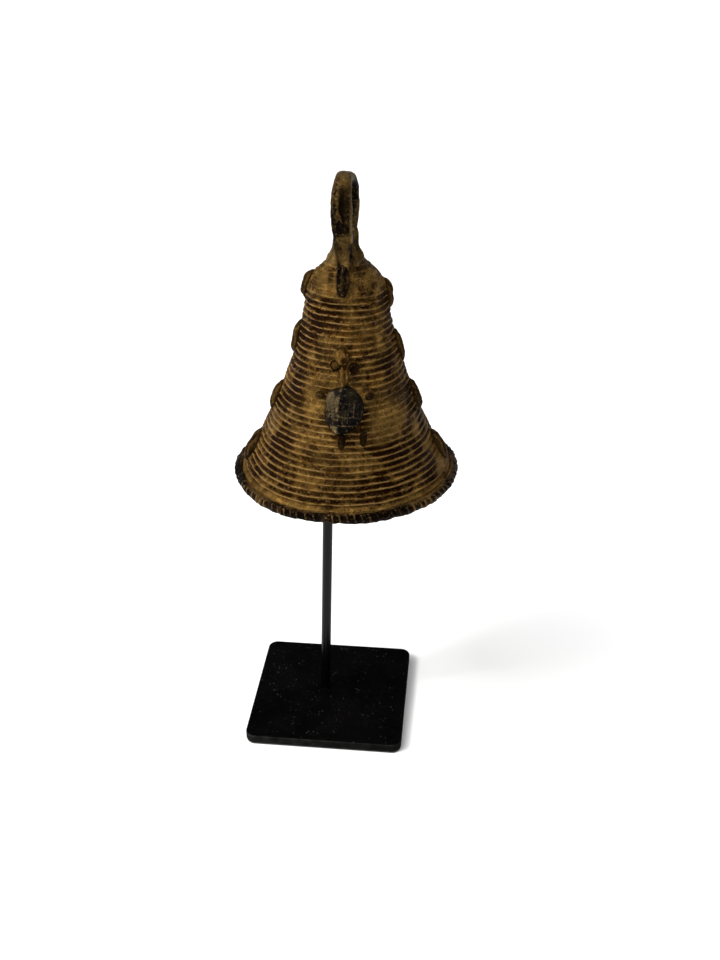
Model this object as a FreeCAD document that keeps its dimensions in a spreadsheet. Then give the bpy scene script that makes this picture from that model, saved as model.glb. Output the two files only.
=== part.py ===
import FreeCAD, Part
import math, os
import Sketcher

# Small cast bell on a display stand, in millimetres.
# Row frame: +Z up, origin at the centre of the stand's underside, base plate square to X and Y,
# the bell's decorated front towards -Y. The bell hangs on a ring at the top of the rod.

V = FreeCAD.Vector
doc = FreeCAD.newDocument("bell_on_stand")
sheet = doc.addObject("Spreadsheet::Sheet", "dims")
DIMS = [
    # stand
    ("plate_side", 80.0), ("plate_thick", 5.0), ("plate_corner", 5.0), ("plate_round", 0.7),
    ("felt_thick", 0.8), ("felt_inset", 0.4),
    ("rod_radius", 2.5), ("foot_x", -3.5), ("foot_y", 2.7), ("rod_lean_deg", 1.31), ("rod_bend_top", 156.0), ("bend_radius", 260.0),
    ("screw_radius", 1.5), ("screw_depth", 9.0), ("head_radius", 3.0), ("head_depth", 1.7),
    ("collar_inner", 6.0), ("collar_outer", 11.0), ("collar_thick", 2.0), ("washer_thick", 1.0), ("washer_gap", 0.05),
    # bell place
    ("bell_x", 8.35), ("bell_y", 2.7), ("bell_yaw", 6.0), ("rim_height", 141.0),
    # bell wall
    ("mouth_radius", 50.8), ("wall_thick", 3.0), ("crown_height", 104.0), ("crown_radius", 9.0), ("ceiling_height", 95.0), ("ceiling_radius", 12.4),
    ("groove_half", 0.75), ("groove_depth", 0.45), ("thread_pitch", 2.85),
    ("rope_radius", 2.3), ("rope_ring", 51.4), ("rope_height", 1.9),
    # loop
    ("eye_width", 14.0), ("eye_height", 17.0), ("loop_wide", 9.6), ("loop_deep", 5.0), ("loop_centre", 128.3), ("loop_yaw", -7.6),
    # clapper
    ("bar_height", 87.0), ("bar_radius", 1.1), ("staple_half", 3.1), ("staple_sunk", 3.0),
    ("eye_inner", 2.0), ("eye_wire", 0.95), ("shank_radius", 1.25), ("ball_radius", 4.8), ("ball_height", 13.0),
]
for row, (name, value) in enumerate(DIMS, 1):
    sheet.set("A%d" % row, name)
    sheet.set("B%d" % row, repr(float(value)))
    sheet.setAlias("B%d" % row, name)
doc.recompute()


def d(name):
    return float(getattr(sheet, name))


def plane(body, role):
    return [o for o in body.Origin.OriginFeatures if o.Role == role][0]


def new_body(label):
    body = doc.addObject("PartDesign::Body", label)
    body.Label = label
    return body


def sketch_on(body, name, role, z=None):
    sk = body.newObject("Sketcher::SketchObject", name)
    sk.AttachmentSupport = [(plane(body, role), "")]
    sk.MapMode = "FlatFace"
    if z is not None:
        sk.setExpression(".AttachmentOffset.Base.z", z)
    return sk


def name_last(sk, index, name, expression):
    sk.renameConstraint(index, name)
    sk.setExpression("Constraints." + name, expression)


def circle(sk, x, y, radius, tag, radius_expression, x_expression=None, y_expression=None):
    """A circle whose radius, and whose centre unless it is at the origin, follow the sheet."""
    g = sk.addGeometry(Part.Circle(V(x, y, 0), V(0, 0, 1), radius), False)
    name_last(sk, sk.addConstraint(Sketcher.Constraint("Radius", g, radius)), tag + "_r", radius_expression)
    if x_expression is None and y_expression is None:
        sk.addConstraint(Sketcher.Constraint("Coincident", g, 3, -1, 1))
        return g
    for kind, value, expression, end in (("DistanceX", x, x_expression, "_x"), ("DistanceY", y, y_expression, "_y")):
        if expression is None:
            sk.addConstraint(Sketcher.Constraint("PointOnObject", g, 3, -2 if kind == "DistanceX" else -1))
        else:
            name_last(sk, sk.addConstraint(Sketcher.Constraint(kind, -1, 1, g, 3, value)), tag + end, expression)
    return g


def square(sk, side, tag, expression):
    a = side / 2
    p = [V(-a, -a, 0), V(a, -a, 0), V(a, a, 0), V(-a, a, 0)]
    for i in range(4):
        sk.addGeometry(Part.LineSegment(p[i], p[(i + 1) % 4]), False)
    for i in range(4):
        sk.addConstraint(Sketcher.Constraint("Coincident", i, 2, (i + 1) % 4, 1))
    for i, kind in enumerate(("Horizontal", "Vertical", "Horizontal", "Vertical")):
        sk.addConstraint(Sketcher.Constraint(kind, i))
    sk.addConstraint(Sketcher.Constraint("Symmetric", 0, 1, 1, 2, -1, 1))
    name_last(sk, sk.addConstraint(Sketcher.Constraint("DistanceX", 0, 1, 0, 2, side)), tag + "_w", expression)
    name_last(sk, sk.addConstraint(Sketcher.Constraint("DistanceY", 1, 1, 1, 2, side)), tag + "_d", expression)


def pad(body, sk, expression):
    f = body.newObject("PartDesign::Pad", "pad_" + sk.Name)
    f.Profile = sk
    f.setExpression("Length", expression)
    sk.Visibility = False
    return f


def dress(body, kind, base, picks, value, expression):
    """A fillet or chamfer on the edges that picks chooses."""
    doc.recompute()
    names = ["Edge%d" % (i + 1) for i, e in enumerate(base.Shape.Edges) if picks(e)]
    f = body.newObject("PartDesign::" + kind, kind.lower() + "_" + base.Name)
    f.Base = (base, names)
    prop = "Radius" if kind == "Fillet" else "Size"
    setattr(f, prop, value)
    if expression:
        f.setExpression(prop, expression)
    doc.recompute()
    return f


def is_vertical(e):
    return len(e.Vertexes) == 2 and abs(e.Vertexes[0].X - e.Vertexes[1].X) < 1e-6 and abs(e.Vertexes[0].Y - e.Vertexes[1].Y) < 1e-6


def flat_at(z):
    return lambda e: abs(e.BoundBox.ZMin - z) < 1e-5 and abs(e.BoundBox.ZMax - z) < 1e-5


def revolve(body, sk, kind="Revolution"):
    f = body.newObject("PartDesign::" + kind, kind.lower() + "_" + sk.Name)
    f.Profile = sk
    f.ReferenceAxis = (sk, ["V_Axis"])
    f.Angle = 360
    sk.Visibility = False
    return f


def chain(sk, geometry):
    """Adds geometry end to end and closes it."""
    first = sk.GeometryCount
    for g in geometry:
        sk.addGeometry(g, False)
    n = len(geometry)
    for i in range(n):
        sk.addConstraint(Sketcher.Constraint("Coincident", first + i, 2, first + (i + 1) % n, 1))
    return first


def spline(points):
    c = Part.BSplineCurve()
    c.interpolate([V(x, y, 0) for x, y in points])
    return c


def bell_place(obj):
    """Puts an object made in the bell's own frame (axis on Z, mouth at Z 0, front to -Y) where the bell hangs."""
    obj.Placement = FreeCAD.Placement(V(d("bell_x"), d("bell_y"), d("rim_height")), FreeCAD.Rotation(V(0, 0, 1), d("bell_yaw")))
    obj.setExpression(".Placement.Base.x", "dims.bell_x")
    obj.setExpression(".Placement.Base.y", "dims.bell_y")
    obj.setExpression(".Placement.Base.z", "dims.rim_height")
    obj.setExpression(".Placement.Rotation.Angle", "dims.bell_yaw")


def at(obj, x=None, y=None, z=None):
    for axis, expression in (("x", x), ("y", y), ("z", z)):
        if expression:
            obj.setExpression(".Placement.Base." + axis, expression)


KEEP = []  # the objects that are written out, by Label


def keep(obj, label=None):
    if label:
        obj.Label = label
    KEEP.append(obj)
    return obj


# ---------------------------------------------------------------- stand

TOP = d("felt_thick") + d("plate_thick")

# Black painted steel plate with rounded corners and a countersunk hole for the rod's screw.
plate = new_body("base_plate")
sk = sketch_on(plate, "plate_outline", "XY_Plane", "dims.felt_thick")
square(sk, d("plate_side"), "side", "dims.plate_side")
f = pad(plate, sk, "dims.plate_thick")
f = dress(plate, "Fillet", f, is_vertical, d("plate_corner"), "dims.plate_corner")
f = dress(plate, "Fillet", f, flat_at(TOP), d("plate_round"), "dims.plate_round")
f = dress(plate, "Chamfer", f, flat_at(d("felt_thick")), 0.35, None)
hole = plate.newObject("PartDesign::SubtractiveCylinder", "screw_hole")
hole.Radius, hole.Height = 1.6, 20
hole.Placement.Base = V(d("foot_x"), d("foot_y"), -5)
hole.setExpression("Radius", "dims.screw_radius + 0.1")
sink = plate.newObject("PartDesign::SubtractiveCone", "screw_sink")
sink.Radius1, sink.Radius2, sink.Height = d("head_radius") + 0.15, d("screw_radius") + 0.1, d("head_depth")
sink.Placement.Base = V(d("foot_x"), d("foot_y"), d("felt_thick"))
sink.setExpression("Radius1", "dims.head_radius + 0.15")
sink.setExpression("Radius2", "dims.screw_radius + 0.1")
sink.setExpression("Height", "dims.head_depth + 0.05")
keep(plate)

# Felt sheet glued under the plate; it hides the screw.
felt = new_body("base_felt")
sk = sketch_on(felt, "felt_outline", "XY_Plane")
square(sk, d("plate_side") - 2 * d("felt_inset"), "side", "dims.plate_side - 2 * dims.felt_inset")
f = pad(felt, sk, "dims.felt_thick")
f = dress(felt, "Fillet", f, is_vertical, d("plate_corner") - d("felt_inset"), "dims.plate_corner - dims.felt_inset")
keep(felt)

# Rod: leans a little from the plate, and is bent plumb inside the bell. Its section stays level, so both ends are flat.
lean = math.radians(d("rod_lean_deg"))
rise = d("rod_bend_top") - d("bend_radius") * math.sin(lean)
x0, z0 = d("foot_x"), TOP
x1, z1 = x0 + (rise - z0) * math.tan(lean), rise
cx, cz = x1 + d("bend_radius") * math.cos(lean), z1 - d("bend_radius") * math.sin(lean)
x2, z2 = cx - d("bend_radius"), cz
# the arc runs from the leaning run to the plumb run, tangent to both
z2 = z1 + d("bend_radius") * math.sin(lean)
x2 = x1 + d("bend_radius") * (1 - math.cos(lean))
arc_mid = V(x2 - d("bend_radius") * (1 - math.cos(lean / 2)), z2 - d("bend_radius") * math.sin(lean / 2), 0)
WASHER_LOW = d("rim_height") + d("ceiling_height") - d("washer_gap") - d("washer_thick")
COLLAR_TOP = WASHER_LOW - d("washer_gap")
COLLAR_LOW = COLLAR_TOP - d("collar_thick")
rod = new_body("stand_rod")
path = rod.newObject("Sketcher::SketchObject", "rod_path")
path.AttachmentSupport = [(plane(rod, "XZ_Plane"), "")]
path.MapMode = "FlatFace"
path.AttachmentOffset = FreeCAD.Placement(V(0, 0, -d("foot_y")), FreeCAD.Rotation())
path.setExpression(".AttachmentOffset.Base.z", "-dims.foot_y")
path.addGeometry(Part.LineSegment(V(x0, z0, 0), V(x1, z1, 0)), False)
path.addGeometry(Part.Arc(V(x1, z1, 0), arc_mid, V(x2, z2, 0)), False)
path.addGeometry(Part.LineSegment(V(x2, z2, 0), V(x2, COLLAR_LOW, 0)), False)
profile = sketch_on(rod, "rod_section", "XY_Plane", "dims.felt_thick + dims.plate_thick")
circle(profile, d("foot_x"), d("foot_y"), d("rod_radius"), "rod", "dims.rod_radius", "dims.foot_x", "dims.foot_y")
pipe = rod.newObject("PartDesign::AdditivePipe", "rod_pipe")
pipe.Profile = profile
pipe.Spine = (path, ["Edge1", "Edge2", "Edge3"])
pipe.Mode = "Fixed"
pipe.Transition = "Transformed"
bore = rod.newObject("PartDesign::SubtractiveCylinder", "rod_thread")
bore.Radius, bore.Height = d("screw_radius"), d("screw_depth") + 1
bore.Placement.Base = V(d("foot_x"), d("foot_y"), TOP)
bore.setExpression("Radius", "dims.screw_radius")
bore.setExpression("Height", "dims.screw_depth + 1")
keep(rod)
ROD_X = x2

# Countersunk screw, up through the plate into the rod.
screw = new_body("rod_screw")
sk = sketch_on(screw, "screw_profile", "XZ_Plane")
s, h, deep, shank = d("screw_radius"), d("head_radius"), d("head_depth"), d("plate_thick") + d("screw_depth")
pts = [V(0, 0, 0), V(h, 0, 0), V(s, deep, 0), V(s, shank, 0), V(0, shank, 0)]
n = len(pts)
chain(sk, [Part.LineSegment(pts[i], pts[(i + 1) % n]) for i in range(n)])
sk.addConstraint(Sketcher.Constraint("Coincident", 0, 1, -1, 1))
sk.addConstraint(Sketcher.Constraint("Horizontal", 0))
sk.addConstraint(Sketcher.Constraint("Vertical", 2))
sk.addConstraint(Sketcher.Constraint("Horizontal", 3))
sk.addConstraint(Sketcher.Constraint("Vertical", 4))
name_last(sk, sk.addConstraint(Sketcher.Constraint("DistanceX", 0, 1, 0, 2, h)), "head", "dims.head_radius")
name_last(sk, sk.addConstraint(Sketcher.Constraint("DistanceX", 3, 2, 3, 1, s)), "shank", "dims.screw_radius")
name_last(sk, sk.addConstraint(Sketcher.Constraint("DistanceY", 0, 1, 1, 2, deep)), "deep", "dims.head_depth")
name_last(sk, sk.addConstraint(Sketcher.Constraint("DistanceY", 0, 1, 3, 2, shank)), "length", "dims.plate_thick + dims.screw_depth")
revolve(screw, sk)
hexagon = sketch_on(screw, "key_socket", "XY_Plane")
pts = [V(1.0 * math.cos(math.radians(60 * i)), 1.0 * math.sin(math.radians(60 * i)), 0) for i in range(6)]
chain(hexagon, [Part.LineSegment(pts[i], pts[(i + 1) % 6]) for i in range(6)])
pocket = screw.newObject("PartDesign::Pocket", "key_pocket")
pocket.Profile = hexagon
pocket.Length = 1.2
pocket.Reversed = True
screw.Placement.Base = V(d("foot_x"), d("foot_y"), d("felt_thick"))
at(screw, "dims.foot_x", "dims.foot_y", "dims.felt_thick")
keep(screw)

# Flat steel ring welded on the rod's top, centred under the bell's crown.
collar = new_body("cradle_ring")
sk = sketch_on(collar, "ring_outline", "XY_Plane")
circle(sk, 0, 0, d("collar_outer"), "outer", "dims.collar_outer")
circle(sk, 0, 0, d("collar_inner"), "inner", "dims.collar_inner")
f = pad(collar, sk, "dims.collar_thick")
f = dress(collar, "Fillet", f, lambda e: abs(e.BoundBox.ZMin - d("collar_thick")) < 1e-5 or e.BoundBox.ZMax < 1e-5, 0.35, None)
collar.Placement.Base = V(d("bell_x"), d("bell_y"), COLLAR_LOW)
at(collar, "dims.bell_x", "dims.bell_y", "dims.rim_height + dims.ceiling_height - 2 * dims.washer_gap - dims.washer_thick - dims.collar_thick")
keep(collar)

# Loose felt washer between the ring and the crown.
washer = new_body("felt_washer")
sk = sketch_on(washer, "washer_outline", "XY_Plane")
circle(sk, 0, 0, d("collar_outer") - 0.3, "outer", "dims.collar_outer - 0.3")
circle(sk, 0, 0, d("collar_inner") + 0.2, "inner", "dims.collar_inner + 0.2")
pad(washer, sk, "dims.washer_thick")
washer.Placement.Base = V(d("bell_x"), d("bell_y"), WASHER_LOW)
at(washer, "dims.bell_x", "dims.bell_y", "dims.rim_height + dims.ceiling_height - dims.washer_gap - dims.washer_thick")
keep(washer)

# ---------------------------------------------------------------- bell wall

# Outside radius of the wall at heights above the mouth: a trumpet flare that narrows to a shoulder and a neck.
FLARE = [
    (0.0, 50.8), (2.5, 50.1), (5.0, 48.8), (10.0, 45.6), (15.0, 42.8), (20.0, 40.3), (25.0, 38.0), (30.0, 35.7), (40.0, 31.5), (50.0, 27.7),
    (60.0, 24.3), (70.0, 21.6), (80.0, 19.5), (86.0, 18.5), (90.0, 18.1), (94.0, 17.3), (97.0, 15.7), (100.0, 13.0), (104.0, 9.0),
]
k_r, k_h = d("mouth_radius") / 50.8, d("crown_height") / 104.0
OUT = [(r * k_r, h * k_h) for h, r in FLARE]


def inward(points, t):
    """The same profile moved into the wall by t."""
    found = []
    for i, (r, h) in enumerate(points):
        a, b = points[max(0, i - 1)], points[min(len(points) - 1, i + 1)]
        dr, dh = b[0] - a[0], b[1] - a[1]
        n = math.hypot(dr, dh)
        found.append((r - t * dh / n, h + t * dr / n))
    return found


wall_in = [q for q in inward(OUT[:15], d("wall_thick")) if q[1] > 0.6]
# the inside starts level with the mouth, and ends under the flat ceiling of the crown
wall_in = [(d("mouth_radius") - d("wall_thick") - 0.1, 0.0)] + wall_in
corner = (wall_in[-1][0] - 0.5, d("ceiling_height") - 2.6)
wall_in = [q for q in wall_in if q[1] < d("ceiling_height") - 4.5] + [corner]


outer_curve = spline(OUT)
span = (outer_curve.FirstParameter, outer_curve.LastParameter)
STEPS = 2000


def knot(i):
    return span[0] + (span[1] - span[0]) * i / STEPS


dense = [outer_curve.value(knot(i)) for i in range(STEPS + 1)]
run = [0.0]
for a, b in zip(dense, dense[1:]):
    run.append(run[-1] + (b - a).Length)


def index_at(length):
    return min(range(STEPS + 1), key=lambda i: abs(run[i] - length))


# Grooves between the wax threads, one pitch apart along the slope: (left index, right index, bottom point).
ROWS = []
length = 5.4
while dense[index_at(length)].y < 96.5 * k_h:
    i = index_at(length)
    t = dense[i + 1] - dense[i - 1]
    t.normalize()
    ROWS.append((index_at(length - d("groove_half")), index_at(length + d("groove_half")), dense[i] - V(t.y, -t.x, 0) * d("groove_depth")))
    length += d("thread_pitch")


def piece(i, j):
    c = outer_curve.copy()
    c.segment(knot(i), knot(j))
    return c


def outline(sk, inner):
    """The wall's section. Inner gives the hollow wall with its threads; without it, the solid inside the plain outer curve."""
    top = OUT[-1]
    if inner:
        ceiling = d("ceiling_height")
        outside, start = [], 0
        for left, right, bottom in ROWS:
            outside.append(piece(start, left))
            outside.append(Part.LineSegment(dense[left], bottom))
            outside.append(Part.LineSegment(bottom, dense[right]))
            start = right
        outside.append(piece(start, STEPS))
        parts = outside + [
            Part.LineSegment(V(top[0], top[1], 0), V(0, top[1], 0)),
            Part.LineSegment(V(0, top[1], 0), V(0, ceiling, 0)),
            Part.LineSegment(V(0, ceiling, 0), V(d("ceiling_radius"), ceiling, 0)),
            Part.LineSegment(V(d("ceiling_radius"), ceiling, 0), V(corner[0], corner[1], 0)),
            spline(list(reversed(wall_in))),
            Part.LineSegment(V(wall_in[0][0], 0, 0), V(OUT[0][0], 0, 0)),
        ]
    else:
        outside = [spline([(r + 0.02, q) for r, q in OUT])]
        parts = outside + [
            Part.LineSegment(V(top[0], top[1], 0), V(0, top[1], 0)),
            Part.LineSegment(V(0, top[1], 0), V(0, 0, 0)),
            Part.LineSegment(V(0, 0, 0), V(OUT[0][0], 0, 0)),
        ]
    first = chain(sk, parts)
    last = first + len(outside) - 1
    sk.addConstraint(Sketcher.Constraint("PointOnObject", last + 1, 2, -2))
    name_last(sk, sk.addConstraint(Sketcher.Constraint("DistanceX", -1, 1, first, 1, OUT[0][0])), "mouth", "dims.mouth_radius")
    name_last(sk, sk.addConstraint(Sketcher.Constraint("DistanceY", -1, 1, last, 2, top[1])), "crown", "dims.crown_height")
    if inner:
        name_last(sk, sk.addConstraint(Sketcher.Constraint("DistanceY", -1, 1, last + 2, 2, ceiling)), "ceiling", "dims.ceiling_height")
        name_last(sk, sk.addConstraint(Sketcher.Constraint("DistanceX", -1, 1, last + 3, 2, d("ceiling_radius"))), "flat", "dims.ceiling_radius")


bell = new_body("bell_body")
sk = sketch_on(bell, "wall_section", "XZ_Plane")
outline(sk, True)
revolve(bell, sk)

for side in (-1, 1):
    leg = bell.newObject("PartDesign::SubtractiveCylinder", "staple_hole_%s" % ("a" if side < 0 else "b"))
    leg.Radius, leg.Height = d("bar_radius"), d("staple_sunk") + 2
    leg.Placement.Base = V(side * d("staple_half"), 0, d("ceiling_height") - 2)
    leg.setExpression("Radius", "dims.bar_radius")
    leg.setExpression("Height", "dims.staple_sunk + 2")
bell_place(bell)
keep(bell)

# Solid of the bell's outside, used to seat everything that is modelled on its surface.
core = new_body("outside_core")
sk = sketch_on(core, "core_section", "XZ_Plane")
outline(sk, False)
revolve(core, sk)
doc.recompute()



def on_wall(h, arc=0.0, azimuth=0.0, lift=0.0):
    """A point on the outside at height h, and the directions up the slope, across and out. Azimuth 0 is the front (-Y), and
    arc moves it round the wall by that many millimetres, to the right."""
    u = min((abs(q.y - h), i) for i, q in enumerate(dense))[1]
    q, t = dense[u], dense[min(u + 1, STEPS)] - dense[max(u - 1, 0)]
    t.normalize()
    a = math.radians(azimuth) + arc / q.x
    radial = V(math.sin(a), -math.cos(a), 0)
    across = V(math.cos(a), math.sin(a), 0)
    up = radial * t.x + V(0, 0, 1) * t.y
    out = radial * t.y - V(0, 0, 1) * t.x
    return radial * q.x + V(0, 0, q.y) + out * lift, up, across, out


def matrix(h, arc, azimuth, lift, turn=0.0):
    """Placement whose X is across, Y is up the slope and Z is out of the wall; turn is about Z, in degrees."""
    p, up, across, out = on_wall(h, arc, azimuth, lift)
    m = FreeCAD.Matrix(across.x, up.x, out.x, p.x, across.y, up.y, out.y, p.y, across.z, up.z, out.z, p.z, 0, 0, 0, 1)
    place = FreeCAD.Placement(m)
    return place.multiply(FreeCAD.Placement(V(0, 0, 0), FreeCAD.Rotation(V(0, 0, 1), turn)))


def ellipsoid(name, wide, tall, high, place):
    """Half sizes across, up the slope and out of the wall."""
    e = doc.addObject("Part::Ellipsoid", name)
    e.Radius1, e.Radius2, e.Radius3 = high, wide, tall
    e.Placement = place
    return e


def seated(label, pieces, clear=None):
    """Pieces on the wall, cut to its outside, in one named sub-part. Clear is one more tool to cut with."""
    made = []
    for p in pieces:
        cut = doc.addObject("Part::Cut", "seat_" + p.Name)
        cut.Base, cut.Tool = p, core
        if clear:
            first, cut = cut, doc.addObject("Part::Cut", "clear_" + p.Name)
            cut.Base, cut.Tool = first, clear
        made.append(cut)
    if len(made) == 1:
        whole = made[0]
    else:
        whole = doc.addObject("Part::Compound", label)
        whole.Links = made
    bell_place(whole)
    return keep(whole, label)


# Rope-like band round the lip.
rope = doc.addObject("Part::Torus", "rope_torus")
rope.Radius1, rope.Radius2 = d("rope_ring"), d("rope_radius")
rope.setExpression("Radius1", "dims.rope_ring")
rope.setExpression("Radius2", "dims.rope_radius")
rope.Placement.Base = V(0, 0, d("rope_height"))
rope.setExpression(".Placement.Base.z", "dims.rope_height")
lip = doc.addObject("Part::Cut", "rope_off_wall")
lip.Base, lip.Tool = rope, core
bell_place(lip)
keep(lip, "rim_rope")

# ---------------------------------------------------------------- tortoise and bosses on the wall

carapace = ellipsoid("carapace", 8.5, 10.9, 5.0, matrix(44.0, -1.1, 0, -0.6))
head = ellipsoid("head", 3.1, 4.4, 2.6, matrix(66.6, -1.9, 0, 0.1, 12))
neck_room = doc.addObject("Part::Fuse", "neck_room")
neck_room.Base, neck_room.Tool = carapace, head
seated("tortoise_shell", [carapace])
seated("tortoise_head", [head])
seated("tortoise_neck", [ellipsoid("neck", 2.5, 5.0, 1.8, matrix(58.0, -1.6, 0, 0.0, 2))], neck_room)
seated("tortoise_eyes", [ellipsoid("eye_a", 2.1, 2.1, 1.6, matrix(62.9, -5.3, 0, 0.1)), ellipsoid("eye_b", 2.2, 2.2, 1.7, matrix(62.0, 3.0, 0, 0.1))], neck_room)
seated(
    "tortoise_feet",
    [
        ellipsoid("fore_a", 2.1, 1.5, 1.4, matrix(49.9, -11.8, 0, 0.1, -10)),
        ellipsoid("fore_b", 2.1, 1.6, 1.4, matrix(49.4, 10.4, 0, 0.1, 20)),
        ellipsoid("hind_a", 1.6, 3.6, 1.5, matrix(29.4, -1.6, 0, 0.1, -6)),
        ellipsoid("hind_b", 1.6, 4.2, 1.6, matrix(34.0, 9.6, 0, 0.1, -8)),
    ],
)

# Oval bosses: one over the tortoise, and a column of four down each side and the back.
foot_room = doc.addObject("Part::Cylinder", "loop_foot_room")
foot_room.Radius, foot_room.Height = d("crown_radius") + 0.3, 12
foot_room.Placement.Base = V(0, 0, d("crown_height"))
foot_room.setExpression("Radius", "dims.crown_radius + 0.3")
foot_room.setExpression(".Placement.Base.z", "dims.crown_height")
seated("front_boss", [ellipsoid("boss_front", 2.9, 8.4, 3.3, matrix(97.6, -0.2, 0, 0.2))], foot_room)
SIZES = [(3.4, 6.9, 2.7), (3.5, 7.9, 2.9), (3.6, 7.8, 3.1), (4.3, 8.6, 3.6)]
COLUMNS = [
    ("left_bosses", -86.0, (93.3, 68.4, 39.6, 14.0)),
    ("right_bosses", 85.0, (88.9, 64.2, 40.4, 14.0)),
    ("back_bosses", 180.0, (91.0, 66.2, 40.0, 14.0)),
]
for label, azimuth, heights in COLUMNS:
    pieces = []
    for i, (h, (wide, tall, high)) in enumerate(zip(heights, SIZES)):
        pieces.append(ellipsoid("%s_%d" % (label, i), wide, tall, high, matrix(h, 0, azimuth, 0.1)))
    seated(label, pieces)

# ---------------------------------------------------------------- loop

# Neck and oval eye on the crown.
loop = new_body("suspension_loop")
stations = []
for i, (up, across, along) in enumerate(((0.0, 9.0, 9.05), (3.2, 7.3, 8.8), (7.5, 5.8, 8.6), (12.0, 4.7, 8.2))):
    st = sketch_on(loop, "neck_%d" % i, "XY_Plane", "dims.crown_height + %s" % up)
    g = st.addGeometry(Part.Ellipse(V(0, along, 0), V(across, 0, 0), V(0, 0, 0)), False)
    st.addConstraint(Sketcher.Constraint("Coincident", g, 3, -1, 1))
    st.Visibility = False
    stations.append(st)
neck = loop.newObject("PartDesign::AdditiveLoft", "neck_loft")
neck.Profile = stations[0]
neck.Sections = stations[1:]
neck.Ruled = False
ring = loop.newObject("Sketcher::SketchObject", "eye_path")
ring.AttachmentSupport = [(plane(loop, "YZ_Plane"), "")]
ring.MapMode = "FlatFace"
rc = (d("eye_width") + d("loop_deep")) / 2
half = (d("eye_height") - d("eye_width")) / 2
c = d("loop_centre")
ring.addGeometry(Part.Arc(V(rc, c + half, 0), V(0, c + half + rc, 0), V(-rc, c + half, 0)), False)
ring.addGeometry(Part.LineSegment(V(-rc, c + half, 0), V(-rc, c - half, 0)), False)
ring.addGeometry(Part.Arc(V(-rc, c - half, 0), V(0, c - half - rc, 0), V(rc, c - half, 0)), False)
ring.addGeometry(Part.LineSegment(V(rc, c - half, 0), V(rc, c + half, 0)), False)
section = sketch_on(loop, "eye_section", "XY_Plane", "dims.loop_centre")
ell = Part.Ellipse(V(0, 0, 0), d("loop_wide") / 2, d("loop_deep") / 2)
ell.Center = V(0, -rc, 0)
section.addGeometry(ell, False)
eye = loop.newObject("PartDesign::AdditivePipe", "eye_pipe")
eye.Profile = section
eye.Spine = (ring, ["Edge1", "Edge2", "Edge3", "Edge4"])
eye.Mode = "Standard"
loop.Placement = FreeCAD.Placement(V(d("bell_x"), d("bell_y"), d("rim_height")), FreeCAD.Rotation(V(0, 0, 1), d("bell_yaw") + d("loop_yaw")))
at(loop, "dims.bell_x", "dims.bell_y", "dims.rim_height")
loop.setExpression(".Placement.Rotation.Angle", "dims.bell_yaw + dims.loop_yaw")
keep(loop)

# ---------------------------------------------------------------- clapper

# Iron staple cast into the crown: two legs and a bar across, along the bell's X.
staple = new_body("clapper_staple")
bend = 1.6
legs = staple.newObject("Sketcher::SketchObject", "staple_path")
legs.AttachmentSupport = [(plane(staple, "XZ_Plane"), "")]
legs.MapMode = "FlatFace"
s, low, high = d("staple_half"), d("bar_height"), d("ceiling_height") + d("staple_sunk")
q = bend * (1 - math.cos(math.radians(45)))
legs.addGeometry(Part.LineSegment(V(-s, high, 0), V(-s, low + bend, 0)), False)
legs.addGeometry(Part.Arc(V(-s, low + bend, 0), V(-s + q, low + q, 0), V(-s + bend, low, 0)), False)
legs.addGeometry(Part.LineSegment(V(-s + bend, low, 0), V(s - bend, low, 0)), False)
legs.addGeometry(Part.Arc(V(s - bend, low, 0), V(s - q, low + q, 0), V(s, low + bend, 0)), False)
legs.addGeometry(Part.LineSegment(V(s, low + bend, 0), V(s, high, 0)), False)
wire = sketch_on(staple, "staple_section", "XY_Plane", "dims.ceiling_height + dims.staple_sunk")
circle(wire, -s, 0, d("bar_radius"), "wire", "dims.bar_radius", "-dims.staple_half")
pipe = staple.newObject("PartDesign::AdditivePipe", "staple_pipe")
pipe.Profile = wire
pipe.Spine = (legs, ["Edge1", "Edge2", "Edge3", "Edge4", "Edge5"])
pipe.Mode = "Standard"
bell_place(staple)
keep(staple)

# Clapper: a wire eye round the bar and a straight shank, with a ball on its end.
shank = new_body("clapper_shank")
ring_mid = d("eye_inner") + d("eye_wire")
eye_h = d("bar_height") - (d("eye_inner") - d("bar_radius") - 0.06)
eye_low = eye_h - ring_mid
ball_h = d("ball_height")
turn = shank.newObject("PartDesign::AdditiveTorus", "hanging_eye")
turn.Radius1, turn.Radius2 = ring_mid, d("eye_wire")
turn.setExpression("Radius1", "dims.eye_inner + dims.eye_wire")
turn.setExpression("Radius2", "dims.eye_wire")
turn.Placement = FreeCAD.Placement(V(0, 0, eye_h), FreeCAD.Rotation(V(0, 1, 0), 90))
stem = shank.newObject("PartDesign::AdditiveCylinder", "shank_stem")
stem.Radius, stem.Height = d("shank_radius"), eye_low - (ball_h + 1.0)
stem.Placement.Base = V(0, 0, ball_h + 1.0)
stem.setExpression("Radius", "dims.shank_radius")
bell_place(shank)
keep(shank)

ball = new_body("clapper_ball")
bob = ball.newObject("PartDesign::AdditiveSphere", "bob")
bob.Radius = d("ball_radius")
bob.Placement.Base = V(0, 0, ball_h)
bob.setExpression("Radius", "dims.ball_radius")
bob.setExpression(".Placement.Base.z", "dims.ball_height")
seat = ball.newObject("PartDesign::SubtractiveCylinder", "shank_seat")
seat.Radius, seat.Height = d("shank_radius"), 10
seat.Placement.Base = V(0, 0, ball_h + 1.0)
seat.setExpression("Radius", "dims.shank_radius")
bell_place(ball)
keep(ball)

# ---------------------------------------------------------------- checks and output

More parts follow.
